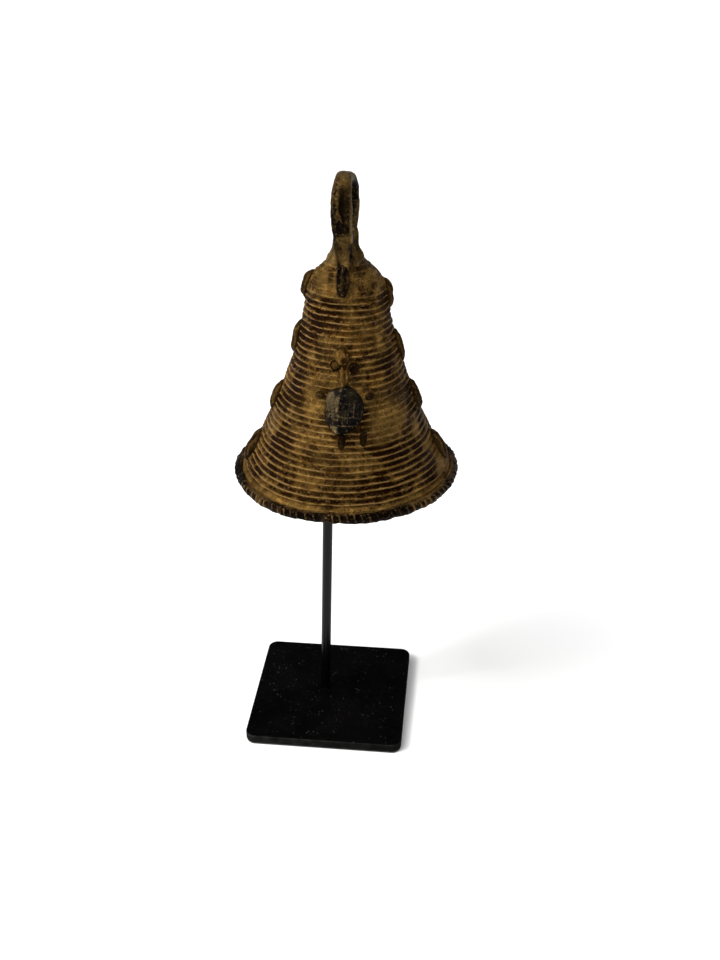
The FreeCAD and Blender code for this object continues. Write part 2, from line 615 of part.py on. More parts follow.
doc.recompute()
bad = [o.Name for o in doc.Objects if "Invalid" in o.State or "Error" in o.State]
if bad:
    raise SystemExit("failed objects: %s" % bad)
os.makedirs("parts", exist_ok=True)
for name in os.listdir("parts"):
    if name.endswith(".step"):
        os.remove(os.path.join("parts", name))
for obj in KEEP:
    shape = obj.Shape
    if shape.isNull() or not shape.isValid() or not shape.Solids:
        raise SystemExit("bad shape: %s" % obj.Label)
for obj in KEEP:
    obj.Shape.exportStep("parts/%s.step" % obj.Label)
    b = obj.Shape.BoundBox
    print(obj.Label, len(obj.Shape.Solids), "solids", round(obj.Shape.Volume, 1), "mm3", [round(x, 2) for x in (b.XMin, b.XMax, b.YMin, b.YMax, b.ZMin, b.ZMax)])
print("rod plumb x", round(ROD_X, 3), "offset from bell axis", round(d("bell_x") - ROD_X, 3))
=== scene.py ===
import math

import bpy
import numpy as np
from mathutils import Matrix, Vector


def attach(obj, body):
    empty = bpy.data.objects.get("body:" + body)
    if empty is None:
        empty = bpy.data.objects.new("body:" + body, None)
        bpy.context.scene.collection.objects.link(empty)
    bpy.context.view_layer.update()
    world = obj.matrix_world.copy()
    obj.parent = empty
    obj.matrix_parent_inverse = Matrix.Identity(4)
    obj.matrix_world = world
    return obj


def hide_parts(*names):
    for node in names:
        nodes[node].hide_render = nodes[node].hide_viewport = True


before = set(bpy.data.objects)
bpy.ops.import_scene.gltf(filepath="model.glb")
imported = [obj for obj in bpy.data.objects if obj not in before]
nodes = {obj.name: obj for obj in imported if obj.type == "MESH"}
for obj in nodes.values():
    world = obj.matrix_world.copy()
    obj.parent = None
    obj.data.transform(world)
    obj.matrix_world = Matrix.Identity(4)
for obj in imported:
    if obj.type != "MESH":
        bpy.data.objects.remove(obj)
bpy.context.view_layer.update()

# All shapes below are worked out in millimetres and written in metres.
# Bell frame: axis on Z, mouth at Z 0, front to -Y. It sits at BELL, turned by YAW.
BELL = (8.35, 2.7, 141.0)
YAW = math.radians(6.0)
LOOP_YAW = math.radians(-7.6)
PITCH = 2.85


# ------------------------------------------------------------------ noise and mesh helpers

def lattice(ix, iy, iz, seed):
    """One fixed random number in -1..1 for every whole-number place."""
    with np.errstate(over="ignore"):
        v = (ix.astype(np.int64) & 0xFFFFFFFF).astype(np.uint64) * np.uint64(374761393)
        v += (iy.astype(np.int64) & 0xFFFFFFFF).astype(np.uint64) * np.uint64(668265263)
        v += (iz.astype(np.int64) & 0xFFFFFFFF).astype(np.uint64) * np.uint64(2246822519)
        v += np.uint64((seed * 3266489917) & 0xFFFFFFFF)
        v &= np.uint64(0xFFFFFFFF)
        v = ((v ^ (v >> np.uint64(15))) * np.uint64(2246822519)) & np.uint64(0xFFFFFFFF)
        v = ((v ^ (v >> np.uint64(13))) * np.uint64(3266489917)) & np.uint64(0xFFFFFFFF)
        v = v ^ (v >> np.uint64(16))
    return v.astype(np.float64) / 2147483647.5 - 1.0


def noise(p, size, seed=1):
    """Smooth noise, about -0.8..0.8, with features of that size in mm. p is (..., 3)."""
    q = p / size + seed * 17.137
    i = np.floor(q).astype(np.int64)
    f = q - i
    f = f * f * f * (f * (f * 6 - 15) + 10)
    total = 0.0
    for dx in (0, 1):
        wx = f[..., 0] if dx else 1 - f[..., 0]
        for dy in (0, 1):
            wy = f[..., 1] if dy else 1 - f[..., 1]
            for dz in (0, 1):
                wz = f[..., 2] if dz else 1 - f[..., 2]
                total = total + wx * wy * wz * lattice(i[..., 0] + dx, i[..., 1] + dy, i[..., 2] + dz, seed)
    return total


def fbm(p, size, octaves=3, seed=1):
    total, amp = 0.0, 1.0
    for k in range(octaves):
        total = total + amp * noise(p, size / 2 ** k, seed + 31 * k)
        amp *= 0.5
    return total / 1.6


def smooth(a, b, x):
    t = np.clip((x - a) / (b - a), 0, 1)
    return t * t * (3 - 2 * t)


def to_world(p, yaw=YAW, origin=BELL, uneven=False):
    """Row-frame place of points given in the bell's frame. uneven adds the casting's own lean and sagging lip."""
    if uneven:
        p = np.array(p, float)
        around = np.arctan2(p[..., 0], -p[..., 1]) + (yaw - YAW)
        p[..., 0] = p[..., 0] + 0.5 * smooth(35.0, 60.0, p[..., 2]) - 0.95 * smooth(90.0, 112.0, p[..., 2])
        sag = 0.75 * np.exp(-((around + 0.75) / 0.75) ** 2) - 0.25 * np.exp(-((around - 1.4) / 0.6) ** 2)
        p[..., 2] = p[..., 2] - sag * smooth(30.0, 4.0, p[..., 2])
    c, s = math.cos(yaw), math.sin(yaw)
    out = np.empty_like(p)
    out[..., 0] = c * p[..., 0] - s * p[..., 1] + origin[0]
    out[..., 1] = s * p[..., 0] + c * p[..., 1] + origin[1]
    out[..., 2] = p[..., 2] + origin[2]
    return out


def make(name, verts, quads=None, tris=None, material=None, attributes=None, sharp=None):
    """A smooth-shaded mesh object from arrays in mm (row frame), wound to face outwards."""
    verts = np.asarray(verts, float).reshape(-1, 3)
    quads = np.zeros((0, 4), int) if quads is None else np.asarray(quads, int).reshape(-1, 4)
    tris = np.zeros((0, 3), int) if tris is None else np.asarray(tris, int).reshape(-1, 3)
    a, b, c, e = (verts[quads[:, k]] for k in range(4))
    volume = np.einsum("ij,ij->i", a, np.cross(b, c)).sum() + np.einsum("ij,ij->i", a, np.cross(c, e)).sum()
    a, b, c = (verts[tris[:, k]] for k in range(3))
    volume += np.einsum("ij,ij->i", a, np.cross(b, c)).sum()
    if volume < 0:
        quads, tris = quads[:, ::-1], tris[:, ::-1]
    me = bpy.data.meshes.new(name)
    me.vertices.add(len(verts))
    me.vertices.foreach_set("co", (verts * 0.001).astype(np.float32).ravel())
    loops = np.concatenate([quads.ravel(), tris.ravel()]).astype(np.int32)
    me.loops.add(len(loops))
    me.loops.foreach_set("vertex_index", loops)
    me.polygons.add(len(quads) + len(tris))
    starts = np.concatenate([np.arange(len(quads)) * 4, len(quads) * 4 + np.arange(len(tris)) * 3]).astype(np.int32)
    me.polygons.foreach_set("loop_start", starts)
    me.polygons.foreach_set("use_smooth", np.ones(len(starts), bool))
    me.update(calc_edges=True)
    me.validate()
    for key, values in (attributes or {}).items():
        at = me.attributes.new(key, "FLOAT", "POINT")
        at.data.foreach_set("value", np.asarray(values, np.float32).ravel())
    obj = bpy.data.objects.new(name, me)
    bpy.context.scene.collection.objects.link(obj)
    if material:
        me.materials.append(material)
    if sharp:
        me.set_sharp_from_angle(angle=math.radians(sharp))
    return obj


def grid_faces(rows, cols, start=0, wrap=True):
    """Quads between rows of a grid; columns close on themselves when wrap is set."""
    i = np.arange(rows - 1)[:, None]
    j = np.arange(cols if wrap else cols - 1)[None, :]
    k = (j + 1) % cols
    return np.stack([start + i * cols + j, start + i * cols + k, start + (i + 1) * cols + k, start + (i + 1) * cols + j], -1).reshape(-1, 4)


def fan(ring_start, cols, pole):
    j = np.arange(cols)
    return np.stack([np.full(cols, pole), ring_start + (j + 1) % cols, ring_start + j], -1)


def capped(rings, first, last):
    """Closed surface from rings (rows, cols, 3), with a pole at each end."""
    rows, cols = rings.shape[:2]
    verts = np.concatenate([rings.reshape(-1, 3), [first, last]])
    n = rows * cols
    tris = np.concatenate([fan(0, cols, n), fan((rows - 1) * cols, cols, n + 1)[:, ::-1]])
    return verts, grid_faces(rows, cols), tris


def spline_points(points, count, closed=False):
    """Even points on a smooth curve through the given ones (chordal Catmull-Rom, then evened out)."""
    p = np.asarray(points, float)
    n = len(p)
    if closed:
        ext = np.concatenate([p[-2:], p, p[:3]])
        spans = range(2, n + 2)
    else:
        ext = np.concatenate([[2 * p[0] - p[1]], p, [2 * p[-1] - p[-2]]])
        spans = range(1, n)
    out = []
    for k in spans:
        p0, p1, p2, p3 = ext[k - 1], ext[k], ext[k + 1], ext[k + 2]
        d0, d1, d2 = (max(1e-6, np.linalg.norm(b - a) ** 0.75) for a, b in ((p0, p1), (p1, p2), (p2, p3)))
        t = np.linspace(0, 1, 40, endpoint=False)[:, None]
        m1 = (p2 - p1) + d1 * ((p1 - p0) / d0 - (p2 - p0) / (d0 + d1))
        m2 = (p2 - p1) + d1 * ((p3 - p2) / d2 - (p3 - p1) / (d1 + d2))
        out.append((2 * t ** 3 - 3 * t ** 2 + 1) * p1 + (t ** 3 - 2 * t ** 2 + t) * m1 + (-2 * t ** 3 + 3 * t ** 2) * p2 + (t ** 3 - t ** 2) * m2)
    out = np.concatenate(out + [[p[0] if closed else p[-1]]])
    length = np.concatenate([[0], np.cumsum(np.linalg.norm(np.diff(out, axis=0), axis=1))])
    want = np.linspace(0, length[-1], count + 1 if closed else count)
    even = np.stack([np.interp(want, length, out[:, k]) for k in range(out.shape[1])], -1)
    return even[:-1] if closed else even


def tube(path, radii, cols, closed=False, side=None):
    """Rings round a path. radii is one number, one per point, or (rows, cols). side fixes the frame's first direction."""
    path = np.asarray(path, float)
    n = len(path)
    if closed:
        tangent = np.roll(path, -1, 0) - np.roll(path, 1, 0)
    else:
        tangent = np.gradient(path, axis=0)
    tangent /= np.linalg.norm(tangent, axis=1)[:, None]
    side = np.array(side if side is not None else (0, 0, 1.0), float)
    first = side - tangent * (tangent @ side)[:, None]
    first /= np.linalg.norm(first, axis=1)[:, None]
    second = np.cross(tangent, first)
    angle = np.linspace(0, 2 * math.pi, cols, endpoint=False)
    r = np.asarray(radii, float)
    r = np.full((n, cols), float(r)) if r.ndim == 0 else (np.repeat(r[:, None], cols, 1) if r.ndim == 1 else r)
    return path[:, None] + first[:, None] * (r * np.cos(angle))[..., None] + second[:, None] * (r * np.sin(angle))[..., None]


# ------------------------------------------------------------------ materials

def material(name):
    m = bpy.data.materials.new(name)
    m.use_nodes = True
    nt = m.node_tree
    nt.nodes.clear()
    out = nt.nodes.new("ShaderNodeOutputMaterial")
    bsdf = nt.nodes.new("ShaderNodeBsdfPrincipled")
    nt.links.new(bsdf.outputs[0], out.inputs[0])
    return m, nt, bsdf


class Tree:
    """Short names for the nodes that the materials use."""

    def __init__(self, nt):
        self.nt = nt
        self.coord = nt.nodes.new("ShaderNodeTexCoord").outputs["Object"]

    def link(self, value, socket):
        if hasattr(value, "is_linked"):
            self.nt.links.new(value, socket)
        elif isinstance(value, (tuple, list)):
            socket.default_value = tuple(value) + ((1.0,) if len(value) == 3 and len(socket.default_value) == 4 else ())
        else:
            socket.default_value = value

    def noise(self, scale, detail=4.0, rough=0.55, distort=0.0, stretch=None):
        n = self.nt.nodes.new("ShaderNodeTexNoise")
        n.inputs["Scale"].default_value = scale
        n.inputs["Detail"].default_value = detail
        n.inputs["Roughness"].default_value = rough
        n.inputs["Distortion"].default_value = distort
        self.nt.links.new(self.stretched(stretch), n.inputs["Vector"])
        return n.outputs["Fac"]

    def stretched(self, stretch):
        if stretch is None:
            return self.coord
        m = self.nt.nodes.new("ShaderNodeMapping")
        m.inputs["Scale"].default_value = stretch
        self.nt.links.new(self.coord, m.inputs["Vector"])
        return m.outputs["Vector"]

    def voronoi(self, scale, feature="F1", randomness=1.0):
        n = self.nt.nodes.new("ShaderNodeTexVoronoi")
        n.feature = feature
        n.inputs["Scale"].default_value = scale
        n.inputs["Randomness"].default_value = randomness
        self.nt.links.new(self.coord, n.inputs["Vector"])
        return n.outputs["Distance"]

    def attribute(self, name):
        n = self.nt.nodes.new("ShaderNodeAttribute")
        n.attribute_name = name
        return n.outputs["Fac"]

    def math(self, op, a, b=0.0, clamp=False):
        n = self.nt.nodes.new("ShaderNodeMath")
        n.operation = op
        n.use_clamp = clamp
        self.link(a, n.inputs[0])
        self.link(b, n.inputs[1])
        return n.outputs[0]

    def span(self, value, a, b, lo=0.0, hi=1.0):
        n = self.nt.nodes.new("ShaderNodeMapRange")
        n.interpolation_type = "SMOOTHSTEP"
        self.link(value, n.inputs[0])
        for k, v in enumerate((a, b, lo, hi), 1):
            self.link(v, n.inputs[k])
        return n.outputs[0]

    def mix(self, fac, a, b, mode="MIX"):
        n = self.nt.nodes.new("ShaderNodeMix")
        n.data_type = "RGBA"
        n.blend_type = mode
        self.link(fac, n.inputs[0])
        self.link(a, n.inputs[6])
        self.link(b, n.inputs[7])
        return n.outputs[2]

    def bump(self, height, strength, distance, under=None):
        n = self.nt.nodes.new("ShaderNodeBump")
        n.inputs["Strength"].default_value = strength
        n.inputs["Distance"].default_value = distance
        self.link(height, n.inputs["Height"])
        if under is not None:
            self.nt.links.new(under, n.inputs["Normal"])
        return n.outputs[0]


def bronze(name, light, mid, dark, patina=0.5, gloss=0.5, metal=0.45, dust=0.5, spec=0.02):
    """Old cast bronze: ochre dust and patina on the high places, near-black in the low ones, with handled spots, and
    painted highlights on the crests.
    Its meshes carry two attributes: 'high' (0 in a recess to 1 on a crest, on some pieces also holding painted light
    and shade) and 'worn' (0 to 1); the wall also carries 'edge', for thin painted highlight lines on the crests."""
    m, nt, bsdf = material(name)
    t = Tree(nt)
    high, worn = t.attribute("high"), t.attribute("worn")
    broad = t.noise(34, 5, 0.6, 0.4)
    blotch = t.noise(120, 6, 0.62, 0.3)
    mottle = t.noise(430, 6, 0.62)
    grain = t.noise(1300, 5, 0.65)
    skin = t.mix(t.span(broad, 0.38, 0.62, 0.0, 0.6), mid, light)
    skin = t.mix(t.span(blotch, 0.44, 0.64, 0.0, 0.55), skin, light)
    skin = t.mix(t.span(mottle, 0.48, 0.62, 0.0, 0.7), skin, tuple(c * 0.40 for c in mid))
    # dark patina lies in patches, and in every recess
    patches = t.span(t.noise(30, 5, 0.65, 0.6), 0.66 - 0.3 * patina, 0.80 - 0.24 * patina, 0.0, 0.8)
    skin = t.mix(patches, skin, dark)
    low = t.span(t.math("ADD", high, t.span(mottle, 0.25, 0.75, -0.24, 0.24)), 0.26, 0.60, 1.0, 0.0)
    colour = t.mix(low, skin, tuple(c * 0.6 for c in dark))
    # dust on worn, smeared places; then painted highlights: lighter colour on the highest crests and thin whitish lines
    # along them
    dusty = t.math("MULTIPLY", t.math("MULTIPLY", worn, t.span(blotch, 0.32, 0.58)), dust, True)
    colour = t.mix(dusty, colour, tuple(min(1.0, c * 1.10) for c in light))
    # painted highlight: the highest crests are coloured lighter
    crest = t.math("MULTIPLY", t.span(high, 0.84, 0.98), t.span(t.noise(260, 4, 0.6), 0.40, 0.60, 0.15, 0.9))
    colour = t.mix(crest, colour, tuple(min(1.0, c * 1.6) for c in light))
    # painted highlight: thin whitish lines along the crests, from the 'edge' attribute
    colour = t.mix(t.math("MULTIPLY", t.attribute("edge"), t.span(grain, 0.36, 0.56, 0.35, 0.95)), colour, tuple(min(1.0, c) for c in (light[0] * 1.9, light[1] * 2.15, light[2] * 3.6)))
    # fine dark and light grain
    colour = t.mix(t.span(grain, 0.50, 0.66, 0.0, 0.55), colour, tuple(c * 0.5 for c in dark))
    specks = t.math("MULTIPLY", t.span(t.noise(1000, 3, 0.6), 0.55, 0.68, 0.0, 0.75), t.span(high, 0.08, 0.42, 0.22, 1.0))
    colour = t.mix(specks, colour, (light[0] * 1.25, light[1] * 1.35, light[2] * 1.9))
    pits = t.span(t.voronoi(560), 0.10, 0.28, 0.85, 0.0)
    pits = t.math("MULTIPLY", pits, t.span(t.noise(90, 3), 0.46, 0.58))
    colour = t.mix(pits, colour, tuple(c * 0.35 for c in dark))
    t.link(colour, bsdf.inputs["Base Color"])
    t.link(t.span(t.math("ADD", blotch, t.math("MULTIPLY", high, -0.16)), 0.2, 0.75, 0.62 - 0.30 * gloss, 0.88 - 0.30 * gloss), bsdf.inputs["Roughness"])
    t.link(t.span(broad, 0.3, 0.7, metal * 0.6, min(1.0, metal * 1.25)), bsdf.inputs["Metallic"])
    bsdf.inputs["Specular IOR Level"].default_value = spec
    relief = t.bump(grain, 0.7, 0.00035)
    relief = t.bump(mottle, 0.8, 0.0009, relief)
    t.link(relief, bsdf.inputs["Normal"])
    return m


WALL = bronze("wall_bronze", (0.142, 0.080, 0.0195), (0.062, 0.0250, 0.0028), (0.0150, 0.0042, 0.0003), 0.46, 0.45, 0.38, 0.6, 0.012)
BOSS = bronze("boss_bronze", (0.090, 0.048, 0.0110), (0.037, 0.0170, 0.0030), (0.0095, 0.0036, 0.0006), 0.6, 0.6, 0.42, 0.35)
DARK = bronze("dark_bronze", (0.100, 0.056, 0.0170), (0.018, 0.0084, 0.0022), (0.003, 0.0014, 0.0005), 0.75, 0.6, 0.45, 0.2)
LOOP = bronze("loop_bronze", (0.098, 0.058, 0.0160), (0.030, 0.0160, 0.0038), (0.0040, 0.0018, 0.0004), 0.42, 0.7, 0.45, 0.5)
SHELL = bronze("shell_bronze", (0.125, 0.090, 0.038), (0.040, 0.026, 0.0100), (0.0022, 0.0011, 0.0005), 0.35, 1.25, 0.05, 0.2, 0.04)
INSIDE_IRON = bronze("forged_iron", (0.075, 0.040, 0.020), (0.036, 0.022, 0.014), (0.011, 0.008, 0.006), 0.6, 0.3, 0.5, 0.3)


def black_paint(name, spec, rough_lo, rough_hi, speck):
    """Black paint on steel: faint orange peel, dust specks, hazy wiping marks, and painted light on the plate's sides
    from the 'side' attribute.
    """
    m, nt, bsdf = material(name)
    t = Tree(nt)
    haze = t.noise(30, 4, 0.6, 0.5, (1.0, 1.0, 0.3))
    colour = t.mix(t.span(haze, 0.3, 0.7), (0.0004, 0.0004, 0.0004), (0.0016, 0.0015, 0.0015))
    # painted light: the plate's edge faces are coloured grey, with a highlight line along the top edge, brightest at
    # the left end
    colour = t.mix(t.math("MULTIPLY", t.attribute("side"), t.span(t.noise(160, 5, 0.65), 0.3, 0.7, 0.2, 1.0)), colour, (0.030, 0.030, 0.029))
    specks = t.math("MULTIPLY", t.span(t.voronoi(760), 0.07, 0.12, 1.0, 0.0), t.span(t.noise(240, 3), 0.52, 0.62))
    colour = t.mix(t.math("MULTIPLY", specks, speck), colour, (0.36, 0.35, 0.32))
    faint = t.math("MULTIPLY", t.span(t.voronoi(1300), 0.12, 0.24, 1.0, 0.0), t.span(t.noise(120, 3), 0.42, 0.6))
    colour = t.mix(t.math("MULTIPLY", faint, speck), colour, (0.030, 0.029, 0.027))
    t.link(colour, bsdf.inputs["Base Color"])
    t.link(t.span(t.noise(60, 5, 0.65), 0.25, 0.75, rough_lo, rough_hi), bsdf.inputs["Roughness"])
    bsdf.inputs["Specular IOR Level"].default_value = spec
    t.link(t.bump(t.noise(1100, 2, 0.5), 0.25, 0.00008), bsdf.inputs["Normal"])
    return m


def felt():
    m, nt, bsdf = material("black_felt")
    t = Tree(nt)
    fibres = t.noise(2600, 5, 0.7, 1.5)
    colour = t.mix(t.span(fibres, 0.3, 0.7), (0.010, 0.010, 0.011), (0.045, 0.044, 0.043))
    t.link(colour, bsdf.inputs["Base Color"])
    bsdf.inputs["Roughness"].default_value = 0.95
    bsdf.inputs["Sheen Weight"].default_value = 0.35
    bsdf.inputs["Sheen Roughness"].default_value = 0.5
    t.link(t.bump(fibres, 0.8, 0.0004), bsdf.inputs["Normal"])
    return m


def zinc():
    m, nt, bsdf = material("zinc_steel")
    t = Tree(nt)
    cloud = t.noise(500, 5, 0.6)
    t.link(t.mix(cloud, (0.42, 0.43, 0.45), (0.62, 0.62, 0.60)), bsdf.inputs["Base Color"])
    t.link(t.span(cloud, 0.3, 0.7, 0.28, 0.45), bsdf.inputs["Roughness"])
    bsdf.inputs["Metallic"].default_value = 1.0
    t.link(t.bump(t.noise(3000, 2), 0.2, 0.00005), bsdf.inputs["Normal"])
    return m


PAINT, ROD_PAINT, FELT, ZINC = black_paint("black_paint", 0.006, 0.42, 0.60, 0.55), black_paint("rod_paint", 0.14, 0.16, 0.24, 0.1), felt(), zinc()


# ------------------------------------------------------------------ bell wall

FLARE = [
    (0.0, 50.8), (2.5, 50.1), (5.0, 48.8), (10.0, 45.6), (15.0, 42.8), (20.0, 40.3), (25.0, 38.0), (30.0, 35.7), (40.0, 31.5), (50.0, 27.7),
    (60.0, 24.3), (70.0, 21.6), (80.0, 19.5), (86.0, 18.5), (90.0, 18.1), (94.0, 17.2), (97.0, 15.4), (100.0, 12.6), (104.0, 8.5),
    (106.5, 6.6), (109.0, 5.3), (112.0, 4.4),
]
ROWS = 680
COLS = 900
curve = spline_points([(r, h) for h, r in FLARE], ROWS)          # radius, height
S = np.concatenate([[0], np.cumsum(np.linalg.norm(np.diff(curve, axis=0), axis=1))])
slope = np.gradient(curve, axis=0)
slope /= np.linalg.norm(slope, axis=1)[:, None]
normal2 = np.stack([slope[:, 1], -slope[:, 0]], -1)              # radial and vertical parts of the way out


def s_at(height):
    return float(np.interp(height, curve[:, 1], S))


def wall_point(s, azimuth, out=0.0):
    """Points in the bell frame at slope distance s and azimuth (radians from the front, to the right), moved out by out mm."""
    r = np.interp(s, S, curve[:, 0]) + np.interp(s, S, normal2[:, 0]) * out
    z = np.interp(s, S, curve[:, 1]) + np.interp(s, S, normal2[:, 1]) * out
    return np.stack([np.sin(azimuth) * r, -np.cos(azimuth) * r, z], -1)


# Everything that stands on the wall: name, height, arc in mm, azimuth in degrees, half width, half length, turn in degrees.
SEATS = []


def seat(name, h, arc, azimuth, a, b, turn=0.0):
    r = float(np.interp(h, curve[:, 1], curve[:, 0]))
    entry = dict(name=name, s=s_at(h), az=math.radians(azimuth) + arc / r, a=a, b=b, turn=math.radians(turn), r=r)
    SEATS.append(entry)
    return entry


seats = {
    "shell": seat("shell", 44.0, -1.1, 0, 8.6, 10.9, -2),
    "neck": seat("neck", 58.0, -1.6, 0, 2.6, 5.0, 2),
    "head": seat("head", 66.6, -1.9, 0, 3.1, 4.4, 12),
    "eye_a": seat("eye_a", 62.9, -5.0, 0, 2.4, 2.4, 0),
    "eye_b": seat("eye_b", 62.0, 3.0, 0, 2.4, 2.4, 0),
    "fore_a": seat("fore_a", 49.9, -11.6, 0, 2.2, 1.6, -10),
    "fore_b": seat("fore_b", 49.4, 10.4, 0, 2.2, 1.6, 20),
    "hind_a": seat("hind_a", 31.4, -1.9, 0, 1.7, 3.8, -6),
    "hind_b": seat("hind_b", 33.0, 7.8, 0, 1.6, 4.2, -8),
    "front": seat("front", 98.6, -1.4, 0, 3.0, 7.8, 0),
}
SIZES = [(3.4, 6.9, 2.6), (3.5, 7.9, 2.8), (3.6, 7.8, 3.0), (4.3, 8.6, 3.5)]
COLUMNS = [
    ("left_bosses", -86.0, (93.3, 68.4, 39.6, 14.2)),
    ("right_bosses", 85.0, (88.9, 64.2, 40.4, 14.2)),
    ("back_bosses", 180.0, (91.0, 66.2, 40.0, 14.2)),
]
for label, azimuth, heights in COLUMNS:
    for k, (h, (a, b, high)) in enumerate(zip(heights, SIZES)):
        seats["%s_%d" % (label, k)] = seat("%s_%d" % (label, k), h, 0, azimuth, a, b)


def wrap_angle(x):
    return (x + math.pi) % (2 * math.pi) - math.pi


def wall_relief(s, azimuth):
    """Height of the cast surface over the plain wall, with how high and how worn each place is, and where painted
    highlight lines and painted shade go.
    """
    p = wall_point(s, azimuth)
    r = np.interp(s, S, curve[:, 0])
    wob = 0.20 * fbm(p, 26.0, 2, 3) + 0.07 * noise(p, 5.0, 5)
    t = s / PITCH + wob
    k = np.floor(t)
    f = t - k
    ridge = 1 / (1 + (np.abs(2 * f - 1) / (0.36 + 0.10 * noise(p, 11.0, 9))) ** 2.4)
    # each thread has its own thickness, which changes along it
    along = np.stack([np.sin(azimuth) * 34, np.cos(azimuth) * 34, k * 41.7], -1)
    own = 1 + 0.30 * noise(along, 9.0, 7) + 0.22 * noise(along, 3.2, 8) + 0.16 * lattice(k.astype(np.int64), np.zeros_like(k, dtype=np.int64), np.zeros_like(k, dtype=np.int64), 11)
    broken = smooth(0.40, 0.62, noise(along, 8.0, 13))
    # smeared, worn areas: noise, and the places that are smooth on this bell
    arc = wrap_angle(azimuth) * r
    h = np.interp(s, S, curve[:, 1])
    worn = smooth(0.12, 0.60, fbm(p, 24.0, 3, 17)) * 0.85
    for ch, ca, rh, ra, amount in ((48, -14, 14, 7, 0.95), (58, -9, 9, 6, 0.8), (22, -12, 10, 12, 0.8), (34, -20, 9, 8, 0.6), (100, -8, 5, 7, 0.8), (100, 9, 4, 5, 0.6), (76, 7, 9, 6, 0.5), (84, 1, 7, 3.4, 0.5), (60, 9, 6, 5, 0.45), (68, -1, 9, 8, 0.6), (82, 15, 9, 7, 0.85), (71, 18, 7, 6, 0.7), (92, 13, 6, 8, 0.7), (57, 26, 8, 4, 0.55)):
        worn = np.maximum(worn, amount * np.exp(-((h - ch) / rh) ** 2 - ((arc - ca) / ra) ** 2) * (0.8 + 0.5 * noise(p, 6.0, 19)))
    # the shoulder is almost plain, and so is a band just over the lip
    worn = np.maximum(worn, np.clip(0.80 + 0.35 * noise(p, 7.0, 46), 0.5, 0.95) * smooth(s_at(88.5), s_at(93.0), s + 2.0 * noise(p, 8.0, 45)))
    worn = np.maximum(worn, 0.85 * smooth(7.5, 5.0, s))
    worn = np.clip(worn, 0, 1)
    amp = 0.92 * np.clip(own, 0.35, 1.45) * (1 - 0.80 * worn)
    level = 0.20 - 0.28 * worn
    relief = level - amp * (1 - ridge) * 0.95 - broken * 0.22 * ridge * (1 - worn)
    # hand-made unevenness, and the grain of the casting
    relief = relief + 0.34 * fbm(p, 13.0, 2, 23) + 0.15 * noise(p, 2.4, 29) + 0.09 * noise(p, 1.1, 31)
    relief = relief + worn * (0.26 * noise(p, 3.6, 33) + 0.16 * noise(p, 1.7, 35))
    pit = smooth(0.50, 0.66, noise(p, 1.9, 37)) * smooth(0.0, 0.3, noise(p, 15.0, 41))
    spots = np.maximum(smooth(0.22, 0.46, noise(p, 2.6, 39)), 0.8 * smooth(0.20, 0.45, noise(p * np.array([1.0, 1.0, 2.2]), 4.6, 40))) * smooth(84.0, 92.0, h)
    relief = relief - 0.35 * pit
    # two small pits on the right of the head
    for ph, pa in ((72.6, 39.0), (69.8, 38.0), (100.3, 43.0)):
        d2 = ((h - ph) / 1.0) ** 2 + (wrap_angle(azimuth - math.radians(pa)) * r / 1.6) ** 2
        relief = relief - 1.3 * np.exp(-d2)
    # creases beside the strap over the front boss
    for ca, depth in ((-2.7, 0.6), (0.6, 0.35)):
        crease = np.exp(-((arc - ca) / 0.55) ** 2) * smooth(99.0, 101.0, h) * smooth(108.0, 106.0, h)
        relief = relief - depth * crease
        pit = np.maximum(pit, 2.0 * depth * crease)
    # threads end at the lip and fade into the loop's foot
    fade = smooth(2.0, 5.5, s) * (1 - smooth(s_at(103.0), s_at(106.5), s))
    relief = relief * fade + (1 - fade) * (-0.15 + 0.18 * noise(p, 3.0, 43))
    # high also carries painted shade: 0.07 darker towards the bell's right side, away from the light
    high = np.clip((0.10 + 0.86 * ridge * np.clip(own, 0.6, 1.15)) * (1 - worn) + worn * (0.62 + 0.16 * ridge + 0.5 * noise(p, 3.6, 33)) + 0.40 * noise(p, 6.0, 47) + 0.25 * noise(p, 2.2, 49) - 0.45 * pit - 0.62 * spots - 0.07 * smooth(0.25, 0.9, wrap_angle(azimuth)), 0, 1)
    # metal runs up to each piece, and lies flat under it
    for e in SEATS:
        v = s - e["s"]
        near = np.abs(v) < e["b"] + e["a"] + 4
        u = wrap_angle(azimuth - e["az"]) * r
        near &= np.abs(u) < e["a"] + e["b"] + 4
        if not near.any():
            continue
        c, n = math.cos(e["turn"]), math.sin(e["turn"])
        uu, vv = (u * c + v * n)[near], (-u * n + v * c)[near]
        rho = np.sqrt((uu / e["a"]) ** 2 + (vv / e["b"]) ** 2)
        gap = (rho - 1) * min(e["a"], e["b"])
        flat = 1 - smooth(-0.2, 1.5, gap)
        weld = 0.75 * np.exp(-np.clip(gap, 0, None) / 0.8) - 0.25
        relief[near] = relief[near] * (1 - flat) + np.where(gap < 0, -0.1, weld) * flat
        high[near] = high[near] * (1 - 0.6 * flat) + 0.25 * flat
    # edge marks thin painted highlight lines along the thread crests, weaker on worn places and on the bell's right
    # side
    edge = smooth(0.80, 0.97, ridge) * (1 - 0.85 * worn) * fade * np.clip(0.62 + 0.9 * noise(along, 6.0, 57) + 0.5 * noise(along, 1.6, 59), 0, 1) * (1 - 0.35 * smooth(0.25, 0.9, wrap_angle(azimuth)))
    return relief, high, worn, edge


az = np.linspace(0, 2 * math.pi, COLS, endpoint=False)
ss, aa = np.meshgrid(S, az, indexing="ij")
relief, high, worn, edge = wall_relief(ss, aa)
outer = wall_point(ss, aa, 0.0)
radial = np.interp(ss, S, normal2[:, 0])
vertical = np.interp(ss, S, normal2[:, 1])
outer = outer + np.stack([np.sin(aa) * radial, -np.cos(aa) * radial, vertical], -1) * relief[..., None]

